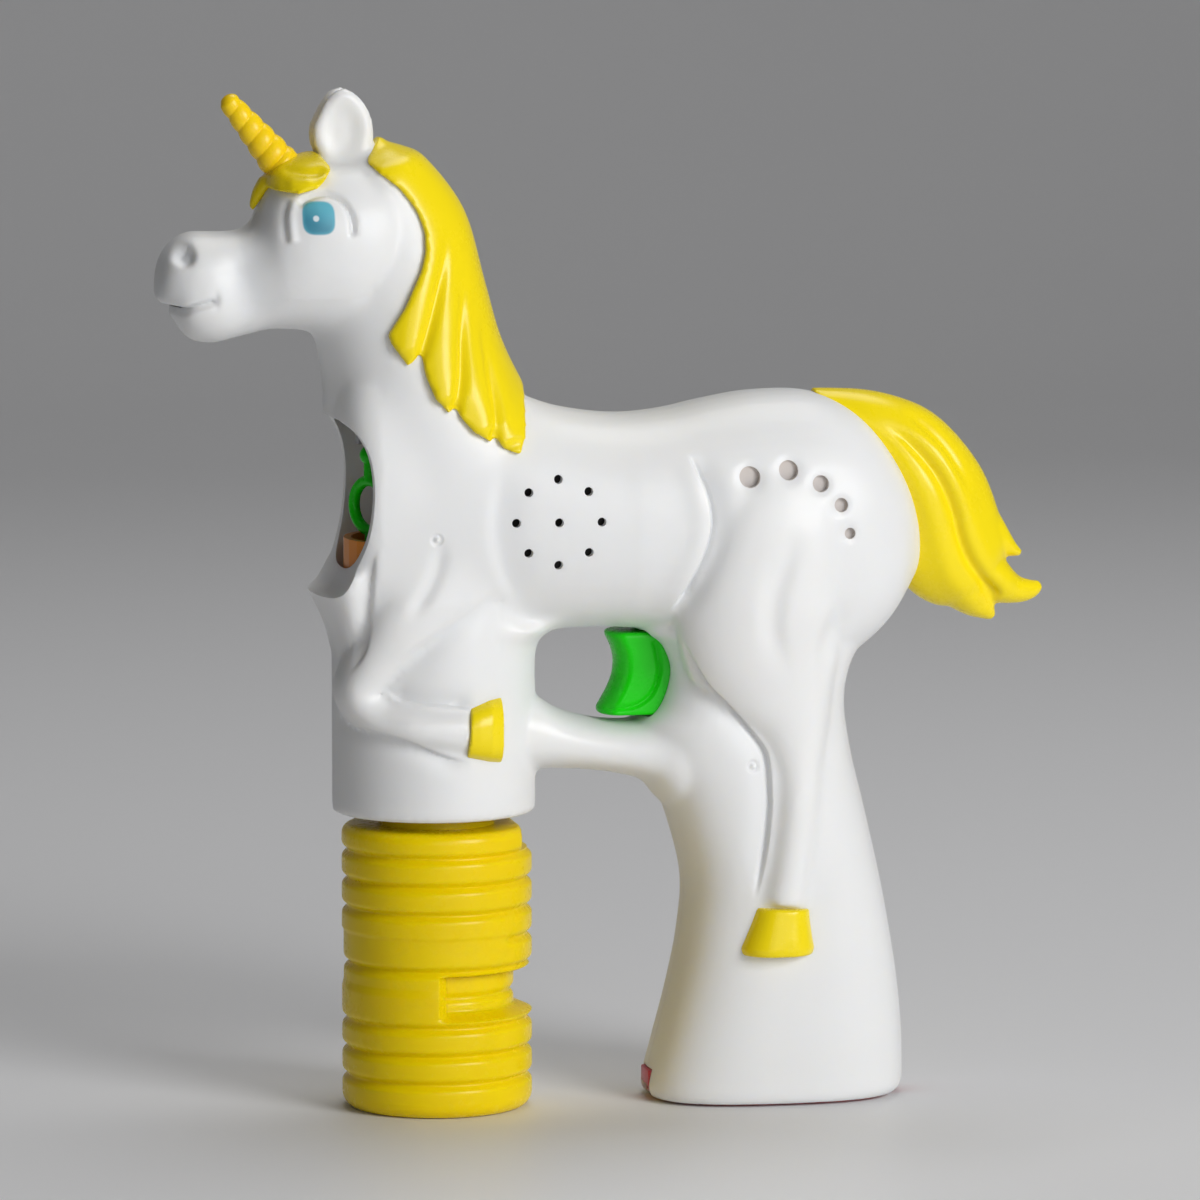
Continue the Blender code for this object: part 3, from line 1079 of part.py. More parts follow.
def make_door(red, steel):
    centre = Vector((DOOR_X, 0.0, 0.0))
    sections = []
    for z, inset in ((0.0, 0.9), (0.3, 0.3), (1.0, 0.0), (DOOR_TOP, 0.0)):
        reach = Vector((DOOR_HALF_LENGTH - inset, 0.0, 0.0))
        sections.append((centre + Vector((0.0, 0.0, z)), reach, DOOR_HALF_WIDTH - inset))
    door = loft(sections, 2.7, 28)
    clip = (-CLIP_HALF_WIDTH, CLIP_HALF_WIDTH)
    front = DOOR_FRONT
    rear = DOOR_REAR
    fuse(door, box((front - 2.4, front + 1.6), clip, (0.9, CLIP_TOP)))
    fuse(door, box((front - 3.8, front), clip, (CLIP_BUMP_LOW, CLIP_TOP)))
    fuse(door, box((rear - 1.6, rear + 2.4), clip, (0.9, CLIP_TOP)))
    fuse(door, box((rear, rear + 3.4), clip, (CLIP_BUMP_LOW, CLIP_TOP)))
    well = 1.4
    screw_place = Vector((DOOR_SCREW_X, DOOR_SCREW_Y, 0.0))
    below = screw_place - Vector((0.0, 0.0, 2.0))
    cut(door, rod(below, screw_place + Vector((0.0, 0.0, 6.0)), SCREW_RADIUS + GAP, 12))
    cut(door, rod(below, screw_place + Vector((0.0, 0.0, well)), SCREW_HEAD_RADIUS + GAP, 14))
    place(door, "battery_door", red, (DOOR_X, 0.0, 0.0))
    screw = turned(
        [(0.0, 10.5), (SCREW_RADIUS, 9.0), (SCREW_RADIUS, well - GAP), (SCREW_HEAD_RADIUS, well - GAP),
         (SCREW_HEAD_RADIUS * 0.8, 0.3), (0.0, 0.3)], screw_place, steps=12)
    place(screw, "door_screw", steel)


# Sound and light

def make_electronics(board_finish, black):
    board = box(BOARD[:2], (BOARD_Y, BOARD_Y + BOARD_THICKNESS), BOARD[2:])
    place(board, "circuit_board", board_finish)
    speaker = turned(
        [(0.0, SPEAKER_DEPTH), (SPEAKER_RADIUS * 0.55, SPEAKER_DEPTH),
         (SPEAKER_RADIUS * 0.55, SPEAKER_DEPTH - 1.8), (SPEAKER_RADIUS, SPEAKER_DEPTH - 1.8),
         (SPEAKER_RADIUS, 0.0), (SPEAKER_RADIUS * 0.85, 0.0),
         (SPEAKER_RADIUS * 0.3, 1.2), (0.0, 0.9)],
        (SPEAKER_X, SPEAKER_FRONT_Y, SPEAKER_Z), (0.0, 1.0, 0.0), 18)
    place(speaker, "speaker", black)


def main():
    white = material("white_plastic", (0.84, 0.84, 0.86), 0.25)
    yellow = material("yellow_plastic", (0.91, 0.74, 0.01), 0.35)
    amber = material("amber_plastic", (1.0, 0.58, 0.02), 0.2)
    bottle_amber = material("bottle_yellow", (0.68, 0.48, 0.0), 0.3)
    green = material("green_plastic", (0.03, 0.72, 0.01), 0.2)
    orange = material("orange_plastic", (0.85, 0.22, 0.02), 0.35)
    red = material("red_plastic", (0.55, 0.02, 0.03), 0.3)
    grey = material("grey_plastic", (0.35, 0.36, 0.37), 0.45)
    black = material("black_plastic", (0.03, 0.03, 0.035), 0.5)
    gear_white = material("gear_plastic", (0.75, 0.74, 0.68), 0.5)
    rubber = material("seal_rubber", (0.7, 0.7, 0.7), 0.7)
    clear = material("clear_hose", (0.8, 0.85, 0.85), 0.3)
    steel = material("steel", (0.56, 0.57, 0.58), 0.35, 1.0)
    cell_finish = material("cell_sleeve", (0.08, 0.09, 0.1), 0.4)
    board_finish = material("board_green", (0.02, 0.22, 0.08), 0.5)
    lamp_finish = material("lamp_lens", (0.9, 0.9, 0.85), 0.15)

    body = melt(body_forms(), "body", BODY_VOXEL, BODY_SMOOTHING, BODY_TRIANGLES)
    hollow = melt(body_forms(WALL), "hollow", BODY_VOXEL * 1.2, 4, CAVITY_TRIANGLES)
    make_casing(body, hollow, white)
    make_screws(steel)
    make_hair(hollow, yellow)
    make_tail(body, yellow)
    make_hooves(body, yellow)
    make_horn(amber, lamp_finish)
    make_bottle(bottle_amber)
    make_bottle_seat(grey, rubber)
    make_hoses(clear)
    make_ring(green)
    make_tray(orange)
    make_air_line(grey, steel, black)
    make_gears(gear_white, steel, grey)
    make_trigger(green, steel, black)
    make_batteries(cell_finish, steel)
    make_door(red, steel)
    make_electronics(board_finish, black)
    for item in list(CUTTERS.objects):
        bpy.data.objects.remove(item, do_unlink=True)


clear_scene()
PARTS = new_collection("bubble_blower")
CUTTERS = new_collection("cutters")
main()
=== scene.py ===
"""Looks of the toy bubble blower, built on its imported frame.

The toy faces -X, its left flank is at -Y and it stands on z = 0. Shapes are worked out in millimetres.
"""
import math

import bmesh
import bpy
import numpy as np
from mathutils import Matrix, Vector


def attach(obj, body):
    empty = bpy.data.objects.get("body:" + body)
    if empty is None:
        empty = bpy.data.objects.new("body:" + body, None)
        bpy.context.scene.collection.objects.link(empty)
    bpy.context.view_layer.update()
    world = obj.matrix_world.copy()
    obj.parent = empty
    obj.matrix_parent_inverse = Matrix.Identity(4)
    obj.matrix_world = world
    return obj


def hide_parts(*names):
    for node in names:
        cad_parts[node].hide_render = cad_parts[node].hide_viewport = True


bl_info = {
    "name": "Bubble Blower",
    "version": (1, 0, 0),
    "blender": (4, 5, 0),
    "location": "View3D > Sidebar > Bubble Blower",
    "description": "Builds the toy bubble blower's casing, hair, bottle and works on its frame",
    "category": "Object",
}

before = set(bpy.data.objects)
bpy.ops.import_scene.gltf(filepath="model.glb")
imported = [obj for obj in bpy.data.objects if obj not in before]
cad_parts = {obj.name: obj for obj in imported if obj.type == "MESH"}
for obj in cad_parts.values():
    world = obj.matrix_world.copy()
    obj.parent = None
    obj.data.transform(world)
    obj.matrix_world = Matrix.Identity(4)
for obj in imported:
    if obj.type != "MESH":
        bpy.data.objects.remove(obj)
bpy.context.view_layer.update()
MM = 0.001

# Body forms: rows of (edge x, edge z, opposite edge x, opposite edge z, half thickness in Y)
HEAD_ROWS = [
    (-91.2, 172.0, -91.3, 167.0, 4.5), (-90.3, 175.4, -90.2, 165.0, 7.6),
    (-88.2, 178.4, -87.8, 162.6, 9.8), (-84.7, 180.3, -85.0, 158.9, 11.3),
    (-79.6, 180.3, -80.4, 157.8, 12.0), (-74.6, 180.6, -74.0, 159.2, 12.0),
    (-71.4, 182.8, -68.5, 160.4, 13.0), (-69.4, 188.0, -63.5, 160.2, 15.0),
    (-66.0, 192.4, -57.5, 160.0, 16.5), (-58.0, 194.8, -50.5, 160.5, 17.0),
    (-50.0, 194.8, -43.5, 164.0, 15.5), (-42.5, 193.0, -39.0, 170.0, 12.0),
    (-37.5, 187.0, -36.0, 178.0, 6.0),
]
NECK_ROWS = [
    (-51.0, 195.4, -46.0, 197.8, 3.0), (-54.0, 192.0, -42.0, 196.8, 8.0),
    (-57.0, 188.0, -37.5, 194.5, 12.0), (-60.0, 173.0, -29.6, 184.0, 14.5),
    (-58.8, 158.0, -25.4, 169.5, 16.5), (-57.4, 150.5, -22.2, 158.2, 18.2),
    (-57.0, 142.0, -17.5, 148.5, 19.8), (-56.0, 132.0, -12.0, 140.0, 21.0),
    (-54.0, 122.0, -10.0, 128.0, 20.0),
]
TORSO_ROWS = [
    (-51.0, 138.0, -51.0, 101.0, 19.0), (-44.0, 142.0, -44.0, 98.0, 20.5),
    (-32.0, 146.0, -32.0, 97.5, 21.5), (-20.0, 147.0, -20.0, 98.0, 22.0), (-9.0, 143.8, -9.0, 98.3, 22.3),
    (2.5, 142.2, 2.0, 98.3, 22.5), (12.5, 142.9, 12.0, 97.0, 22.5), (21.5, 144.8, 22.0, 92.0, 22.8),
    (32.0, 146.4, 33.0, 88.0, 23.0), (44.0, 146.0, 43.0, 88.0, 22.5), (54.0, 141.0, 52.0, 92.0, 20.5),
    (62.0, 131.0, 59.5, 98.5, 15.5), (66.8, 120.0, 65.6, 108.0, 7.0),
]
HANDLE_ROWS = [
    (20.0, 112.0, 50.0, 112.0, 15.0), (8.0, 99.4, 55.4, 99.4, 17.6), (10.8, 95.2, 54.4, 95.6, 17.8),
    (12.7, 90.6, 52.0, 91.0, 18.0), (12.2, 86.0, 50.7, 86.6, 17.9), (10.2, 81.6, 50.4, 82.4, 17.8),
    (7.0, 78.0, 50.8, 78.4, 17.6), (9.0, 71.0, 52.2, 70.6, 17.5), (12.8, 63.0, 54.2, 62.5, 17.5),
    (17.3, 47.0, 57.6, 48.0, 17.5), (16.7, 35.0, 60.0, 36.0, 17.5), (14.4, 23.5, 61.8, 25.0, 17.7),
    (11.5, 12.5, 62.9, 14.0, 18.0), (9.4, 4.6, 63.1, 4.6, 18.0), (9.2, 2.0, 62.6, 2.0, 17.9),
    (10.0, 0.5, 61.0, 0.5, 17.2),
]
BAR_ROWS = [
    (-24.0, 86.0, -24.0, 69.0, 13.0), (-15.0, 85.0, -14.0, 69.4, 12.5), (-9.5, 81.8, -9.0, 69.4, 12.0),
    (-3.0, 79.7, -3.0, 69.0, 12.0), (4.0, 78.8, 2.5, 68.2, 12.5), (11.0, 79.5, 8.5, 66.3, 13.5),
    (18.0, 84.0, 14.0, 61.0, 15.0), (26.0, 84.0, 24.0, 62.0, 15.0),
]
LIP_ROWS = [
    (-55.2, 94.0, -44.0, 94.0, 15.0), (-56.4, 99.0, -44.0, 99.0, 16.0),
    (-58.8, 104.6, -44.0, 104.6, 17.4), (-60.4, 108.4, -44.0, 108.4, 18.6),
    (-58.0, 112.0, -44.0, 112.0, 18.8),
]
CHEST_ROWS = [
    (-53.0, 98.0, -34.0, 98.0, 17.0), (-55.6, 108.0, -34.0, 108.0, 19.4),
    (-56.2, 122.0, -34.0, 122.0, 20.6), (-56.0, 134.0, -34.0, 134.0, 20.4),
    (-56.4, 143.0, -34.0, 143.0, 18.8), (-55.6, 150.0, -34.0, 150.0, 16.6),
]
# Ears and legs: rows of (x, z, half width, |y|, half thickness) along the limb
EAR_ROWS = [
    (-53.8, 190.0, 4.4, 3.2, 2.6), (-53.8, 194.5, 4.5, 3.1, 2.5), (-53.6, 197.0, 5.8, 3.0, 2.5),
    (-53.4, 199.8, 6.4, 3.0, 2.4), (-53.2, 203.0, 5.7, 3.0, 2.3), (-53.4, 206.0, 4.2, 3.0, 2.1),
    (-53.6, 208.0, 2.4, 3.0, 1.8), (-53.7, 209.0, 0.9, 3.0, 1.0),
]
FORELEG_ROWS = [
    (-25.0, 126.0, 8.0, 10.5, 6.0), (-31.0, 117.0, 10.0, 12.2, 7.4), (-36.5, 109.0, 11.0, 13.4, 8.0),
    (-43.5, 100.0, 8.8, 13.0, 8.4), (-49.4, 92.6, 5.8, 10.8, 8.4), (-52.0, 87.0, 4.9, 9.6, 8.0),
    (-49.0, 82.9, 4.3, 11.2, 8.0), (-43.0, 81.0, 4.4, 14.6, 7.6), (-36.5, 80.1, 4.7, 15.8, 7.2),
    (-30.8, 79.6, 5.4, 15.6, 7.2),
]
# The right knee's setback, its height and how far it fades along the leg
KNEE_BACK = 3.2
KNEE_Z = 87.0
KNEE_SPREAD = 6.0
HIND_LEG_ROWS = [
    (38.0, 143.0, 10.0, 4.0, 6.0), (36.0, 134.0, 14.5, 10.4, 8.8), (34.0, 122.0, 17.0, 13.8, 10.4),
    (31.0, 108.0, 17.8, 14.5, 10.8), (30.5, 98.0, 17.0, 14.0, 10.6), (33.4, 88.0, 14.8, 12.0, 10.0),
    (36.6, 79.0, 9.6, 10.5, 9.6), (38.0, 70.0, 6.5, 10.0, 9.4), (38.0, 62.0, 6.0, 10.0, 9.8),
    (37.0, 53.0, 5.8, 10.0, 10.0), (35.2, 41.8, 5.8, 10.0, 10.2),
]
# Tail: edge rows as in the body forms, then limb rows of its tips
TAIL_ROWS = [
    (44.0, 146.6, 52.0, 134.0, 5.5), (54.2, 146.2, 56.0, 130.0, 8.0), (62.0, 144.6, 58.5, 126.0, 9.5),
    (69.0, 141.6, 60.0, 120.0, 10.5), (75.0, 136.3, 61.5, 114.0, 11.0), (80.4, 128.9, 62.5, 108.0, 10.5),
    (83.8, 120.4, 66.0, 103.6, 9.0), (85.4, 114.6, 71.0, 101.0, 7.2), (85.0, 110.0, 76.0, 101.0, 4.5),
]
TAIL_TIPS = [
    [
        (78.4, 121.0, 4.2, 0.0, 6.0), (82.6, 115.8, 3.4, 0.0, 4.8), (86.2, 112.7, 1.9, 0.0, 3.0),
        (88.8, 111.5, 0.6, 0.0, 1.0),
    ],
    [
        (78.0, 110.0, 6.0, 0.0, 6.5), (83.4, 105.8, 4.6, 0.0, 5.4), (87.6, 104.0, 3.0, 0.0, 3.8),
        (90.8, 104.0, 2.1, 0.0, 2.6), (93.0, 105.0, 1.0, 0.0, 1.2),
    ],
    [
        (74.0, 107.0, 6.0, 0.0, 6.5), (78.6, 102.2, 3.9, 0.0, 4.6), (81.4, 99.7, 2.1, 0.0, 2.6),
        (83.0, 98.3, 0.8, 0.0, 1.0),
    ],
]
# Side outlines (x, z) of the hair; their outer stretches run clear of the neck and head
MANE_OUTLINE = [
    (-49.6, 194.2), (-47.4, 192.2), (-43.5, 189.2), (-40.2, 184.9), (-38.6, 180.4), (-38.6, 176.6),
    (-39.6, 172.8), (-43.1, 165.4), (-46.6, 160.2), (-46.2, 158.6), (-43.0, 154.0), (-41.8, 154.6),
    (-40.2, 157.0), (-39.4, 151.9), (-37.6, 147.6), (-34.8, 144.2), (-33.7, 146.2), (-32.4, 143.4),
    (-29.8, 140.6), (-26.2, 138.3), (-25.5, 140.0), (-23.6, 137.0), (-20.2, 135.7), (-18.8, 139.4),
    (-17.8, 145.0), (-16.8, 149.0), (-8.0, 154.0), (-10.0, 180.0), (-25.0, 204.0), (-40.0, 208.0),
    (-45.4, 200.0),
]
FORELOCK_OUTLINE = [
    (-71.5, 190.8), (-68.6, 189.0), (-64.2, 188.4), (-60.6, 189.4), (-58.6, 191.2), (-57.0, 193.4),
    (-58.4, 195.6), (-60.6, 200.0), (-72.0, 200.0),
]
# Point of the forelock: limb rows
FRINGE_ROWS = [(-68.6, 190.6, 1.6, 0.0, 3.2), (-70.6, 187.6, 1.2, 0.0, 2.4), (-71.8, 184.6, 0.6, 0.0, 0.8)]

# Hooves: rows of (x, |y|, z, half span x, half span z, half thickness)
FRONT_HOOF_ROWS = [
    (-31.0, 15.4, 79.4, 0.4, 5.7, 7.9), (-29.0, 15.2, 79.5, 0.2, 6.2, 8.0),
    (-26.4, 14.6, 79.6, 0.0, 6.9, 8.1), (-23.8, 13.4, 79.6, 0.0, 7.3, 7.9),
]
HIND_HOOF_ROWS = [
    (35.0, 12.0, 41.3, 6.0, -0.2, 8.6), (34.6, 12.0, 38.4, 6.6, -0.1, 9.0), (34.2, 12.0, 35.0, 7.5, 0.0, 9.5),
    (34.0, 12.0, 33.0, 8.1, 0.0, 9.7), (34.0, 12.0, 31.6, 7.7, 0.0, 9.3),
]
HOOF_INNER_Y = 6.0

# Rows made between two given ones, and the least half size of a shrunken section
ROW_STEPS = 6
PATH_STEPS = 5
LEAST_REACH = 0.4

# Smoothed zones of the skin: (low x, high x, low z, high z, least |y|, passes) of throat, shoulder and armpit
BLEND_ZONES = [
    (-68.0, -46.0, 150.0, 167.0, -1.0, 30), (-48.0, 4.0, 106.0, 152.0, 6.0, 60),
    (-24.0, 3.0, 88.0, 108.0, -1.0, 40),
]
# Least sideways share of a normal that counts as flank, and the least weight that gets finer cells
FLANK_TILT = 0.15
FLANK_LEAST = 0.05

# Relief lines and places (x, z) on both flanks
FLANK_CREASE = [(14.4, 135.5), (17.6, 128.7), (18.8, 122.4), (17.9, 116.7), (15.3, 110.4), (11.2, 102.5)]
THIGH_EDGE = [
    (12.4, 99.6), (17.6, 89.1), (23.5, 82.7), (29.3, 76.2), (31.4, 72.1), (32.0, 65.1), (32.0, 61.8),
    (31.2, 53.9), (29.1, 42.9),
]
ELBOW_EDGE = [(-22.6, 109.0), (-26.3, 106.5), (-34.1, 101.0), (-41.9, 95.5), (-46.1, 91.9), (-47.2, 88.9)]
SHIN_TOP = [(-47.2, 88.9), (-44.6, 86.5), (-36.7, 85.5), (-29.5, 84.6)]
SHIN_BOTTOM = [(-57.4, 85.5), (-54.0, 80.7), (-44.6, 78.0), (-36.2, 74.6), (-30.3, 73.2)]
CHEST_FOLD = [(-36.6, 119.5), (-37.0, 114.0), (-39.6, 108.0), (-44.0, 102.0)]
CHEEK = [(-76.8, 179.0), (-75.6, 172.0), (-73.6, 165.6), (-70.0, 160.4)]
SHOULDER_EDGE = [(-23.0, 134.0), (-25.0, 122.0), (-23.0, 112.0), (-18.0, 104.0)]
RUMP_FOLDS = [
    [(37.4, 121.0), (34.6, 114.0), (31.8, 107.6), (31.0, 100.0), (32.8, 93.6), (35.0, 88.0)],
    [(46.8, 107.0), (45.2, 101.5), (43.2, 95.5), (42.4, 88.0)],
]
FORELEG_FRONT = [(-49.6, 118.0), (-50.5, 113.3), (-51.0, 103.4), (-52.3, 96.1), (-55.4, 91.0)]
LID_BAR = [(-65.5, 178.2), (-65.8, 181.8), (-65.6, 185.0), (-64.4, 187.4)]
LID_ARCH = [
    (-64.6, 185.6), (-63.2, 187.2), (-60.8, 188.3), (-58.2, 188.4), (-55.6, 187.0), (-54.0, 184.4),
    (-53.6, 181.6), (-53.9, 179.6),
]
NOSTRIL = (-86.9, 176.2)
MOUTH_LINE = [(-93.5, 165.0), (-89.5, 164.7), (-87.4, 164.7), (-85.5, 165.4), (-83.8, 166.0), (-80.7, 166.9)]
EAR_CUP = (-53.9, 200.6)
# Ear: lowest z of its cup, and |y| where its outer face starts, with the width of the change
EAR_BOTTOM = 192.0
EAR_OUTER = (3.4, 0.9)
EYE_BULGE = (-60.4, 183.6)
EYE_PLACE = (-60.5, 183.7)
EYE_HALF = (3.3, 3.4)
EYE_SQUARENESS = 3.2
EYE_LEAST_Y = 9.0
# Face with finer cells: low z, high z and rear x
HEAD_CELLS = (161.0, 191.0, -52.0)
SINK_MARKS = [(-37.5, 118.9), (28.5, 70.7)]
MANE_VALLEYS = [
    [(-40.6, 155.4), (-38.8, 160.4), (-36.9, 166.6), (-34.8, 174.6), (-34.0, 183.0)],
    [(-33.9, 144.6), (-32.4, 150.8), (-31.7, 158.9), (-30.8, 168.0), (-30.2, 176.0)],
    [(-25.8, 138.4), (-25.3, 143.6), (-25.8, 150.8), (-26.6, 158.9), (-27.0, 166.0)],
]
MANE_LOCKS = [
    [(-43.6, 155.0), (-42.4, 162.0), (-39.8, 170.4), (-37.0, 178.0), (-36.0, 186.0)],
    [(-35.4, 145.4), (-36.0, 154.6), (-34.4, 164.4), (-32.6, 174.0)],
    [(-27.0, 139.4), (-28.8, 147.6), (-29.2, 156.6), (-28.8, 166.0)],
    [(-21.4, 137.4), (-22.6, 142.8), (-23.6, 151.7), (-25.0, 160.0)],
]
FORELOCK_VALLEY = [(-67.0, 193.4), (-64.5, 192.9), (-61.6, 192.6), (-57.4, 193.4)]
FORELOCK_RIDGE = [(-67.0, 190.8), (-64.0, 190.4), (-60.4, 191.2)]
TAIL_VALLEYS = [
    [
        (56.0, 140.6), (62.4, 136.1), (68.2, 129.4), (71.8, 121.9), (73.6, 115.6), (76.6, 109.8),
        (83.4, 102.2),
    ],
    [(61.5, 142.4), (66.0, 139.4), (70.2, 135.0), (73.4, 129.8), (75.8, 123.6)],
]
TAIL_LOCKS = [
    [
        (60.0, 141.2), (65.4, 137.6), (70.4, 131.6), (74.0, 124.4), (76.8, 116.0), (80.8, 108.6),
        (88.0, 104.6),
    ],
    [(56.0, 136.0), (61.0, 132.4), (65.6, 125.6), (68.6, 117.0), (72.4, 107.6), (80.0, 100.8)],
]

# Openings and holes
CHEST_BITE = [
    (-80.0, 143.4), (-57.0, 143.0), (-54.6, 141.8), (-52.4, 139.4), (-50.6, 135.2), (-49.9, 128.8),
    (-50.6, 121.0), (-52.4, 114.7), (-55.2, 108.8), (-57.4, 106.9), (-60.0, 106.6), (-80.0, 106.6),
]
TUBE_X = -34.7
TUBE_RADIUS = 20.8
TUBE_BOTTOM = 61.0
TUBE_TOP = 118.0
# Bore of the tube: how far below the tube it starts, then the lip's depth and height
BORE_START = 4.0
BORE_LIP = (0.9, 1.2)
# Shelf in the tube: low z, high z and the radius of its hole
SHELF = (76.3, 78.3, 14.0)
# Trigger slot: low x, high x, low z and high z
TRIGGER_SLOT = (-1.2, 32.0, 79.9, 97.9)
SLOT_EDGE = 0.8
CLEARANCE = 0.3
SPACE_GRID = 1.6
CUT_HALF_DEPTH = 40.0
SEAM_GAP = 0.08
SLAB_REACH = 130.0
SLAB_DEPTH = 60.0
SLAB_BOTTOM = -30.0
SLAB_TOP = 250.0
ARMPIT_Z = 98.6
ARMPIT_RADIUS = 4.4
ARMPIT_ROOT = 4.0
ARMPIT_COVER = 2.0
# Cosine at which the fillet starts on the tube, and its rise to the full fillet
ARMPIT_TURN = (0.3, 0.4)
SOUND_CENTRE = (-12.6, 122.0)
SOUND_CIRCLE = 8.7
SOUND_RADIUS = 0.9
SOUND_COUNT = 8
SOUND_INNER_Y = 14.5
HOLE_OUTER_Y = 32.0
HOLE_SIDES = 28
RUMP_VENTS = [
    (26.9, 130.4, 2.15), (35.0, 131.6, 2.0), (41.6, 128.8, 1.7), (45.8, 124.4, 1.45), (47.6, 118.6, 1.15),
]
VENT_DEPTH = 1.3
SCREW_PLACES = [(-53.0, 175.0), (-38.0, 109.3), (-5.0, 74.4), (57.0, 114.0), (28.5, 70.7), (54.0, 17.0)]
SCREW_NAMES = ["head", "chest", "bar", "rump", "grip_top", "grip_low"]
SCREW_SEAT_Y = 7.0
SCREW_TIP_Y = -8.7
WELL_RADIUS = 2.8

# Hair: grids of its first skin and of the space inside, depth of its root, and the forelock's rise as a
# share of the mane's
HAIR_FIRST_GRID = 0.7
HAIR_ROOT_GRID = 1.2
HAIR_ROOT = 1.0
FORELOCK_RISE = 1.4

# Bottle
BOTTLE_X = TUBE_X + 0.6
BOTTLE_RADIUS = 19.5
BOTTLE_GROOVES = [53.4, 47.6, 41.8, 36.0, 30.2, 24.4, 18.6, 12.8, 7.0]
PANEL_GROOVES = [53.4, 47.6, 41.8, 30.2, 18.6, 12.8, 7.0]
PANEL_BAND = (25.0, 37.3)
POCKET_RADIUS = 15.7
POCKET_BAND = (20.0, 29.4)
FLAT_ABOVE = 53.6
BASE_RADIUS = 16.2
BASE_ROUND = 3.0
BASE_ROUND_TOP = 3.2
SHOULDER_Z = 56.6
SHOULDER_ROUND = 2.0
SHOULDER_TOP = 58.6
NECK_RADIUS = 11.9
NECK_RIM_RADIUS = 11.7
NECK_RIM_Z = 71.6
NECK_BORE = 10.6
THREADS = [(61.2, 62.4), (64.6, 65.8)]
THREAD_RISE = 0.7
GROOVE_WIDTH = 0.8
INNER_RADIUS = 17.0
INNER_POCKET = 13.6

# Horn
HORN_BASE = Vector((-66.1, 0.0, 194.1))
HORN_AXIS = Vector((-0.637, 0.0, 0.771)).normalized()
HORN_LENGTH = 17.4
HORN_ROOT = -3.4
HORN_RADII = (3.9, 1.95)
HORN_TURNS = 5.2
HORN_TIP = 1.7
HORN_ROWS = 150

# Trigger, ring and door
TRIGGER_FRONT = [
    (0.9, 97.4), (1.2, 96.2), (2.2, 94.0), (2.8, 91.4), (2.6, 88.4), (1.6, 85.6), (0.3, 83.2),
    (-0.6, 81.6), (-0.6, 80.4),
]
TRIGGER_BACK = 22.0
TRIGGER_HALF_WIDTH = 6.5
TRIGGER_NOSE = 3.2
# Spring's pocket in the trigger: front x, z and radius
SPRING_POCKET = (17.4, 86.0, 4.1)
TRIGGER_RIM = [(-0.3, 81.9), (5.5, 82.2), (9.2, 84.4), (11.0, 88.6), (10.9, 92.0), (10.0, 95.8)]
AIR_Z = 124.0
RING_X = -47.7
RING_TURN = math.radians(30.0)
RING_RADIUS = 5.1
RING_RIM = (1.15, 1.2)
RING_STEM_END = 5.2
RING_FOOT_Z = 100.8
RING_KNOB_Z = 134.3
RING_KNOB_RADIUS = 2.1
RING_TOP_Z = 138.5
CRANK_Z = 101.6
CRANK_TOP_Z = 105.6
CRANK_PIN = (-2.0, math.sqrt(32.0))
DOOR_X = 36.1
# Door: half length, half width and thickness
DOOR_SIZE = (24.2, 15.2, 2.5)
DOOR_SCREW = (DOOR_X - DOOR_SIZE[0] + 4.8, 7.4)
# Door clips: half width, height of the hook's foot and of its top
CLIP_SIZE = (4.0, 2.9, 6.2)
CLIP_FOOT = 0.9
CLIP_EDGE = 0.3
# Notches for the clips in the handle's foot: outer x at both ends, overlap with the door, and lowest z
NOTCH_ENDS = (0.0, 80.0)
NOTCH_OVERLAP = 1.9
NOTCH_BOTTOM = -5.0

# Stage, in metres: lamps as (name, place, size, share of the key lamp's power)
LAMPS = [
    ("key_lamp", (0.8, -1.25, 0.65), 0.8, 1.0), ("fill_lamp", (0.05, -1.5, 0.35), 0.9, 0.2),
    ("top_lamp", (0.2, 0.4, 1.4), 0.9, 0.4),
]
LAMP_AIM = Vector((0.0, 0.0, 0.1))
CAMERA_AIM = Vector((0.0, 0.0, 0.1036))
WORLD_STRENGTH = 0.07
FLOOR_BEND_Y = 1.4
FLOOR_BEND_RADIUS = 0.8
BACKDROP_STRETCH = 3.0

# Shader sockets
VECTOR = "NodeSocketVector"
COLOUR = "NodeSocketColor"
NUMBER = "NodeSocketFloat"


class BlowerForm(bpy.types.PropertyGroup):
    """Sizes of the toy, in millimetres."""
    grid: bpy.props.FloatProperty(
        name="Skin grid", description="Cell size of the casing's skin, mm",
        default=0.78, min=0.4, max=3.0)
    hair_grid: bpy.props.FloatProperty(
        name="Hair grid", description="Cell size of the mane, forelock and tail, mm",
        default=0.5, min=0.3, max=2.0)
    wall: bpy.props.FloatProperty(
        name="Wall", description="Thickness of the casing, mm", default=2.2, min=1.0, max=4.0)
    mane_rise: bpy.props.FloatProperty(
        name="Mane rise", description="How far the mane stands proud of the neck, mm",
        default=1.3, min=0.3, max=3.0)
    lock_depth: bpy.props.FloatProperty(
        name="Lock depth", description="Depth of the valleys between locks of hair, mm",
        default=1.1, min=0.0, max=3.0)
    groove_depth: bpy.props.FloatProperty(
        name="Bottle groove", description="Depth of the grooves round the bottle, mm",
        default=1.1, min=0.2, max=2.0)


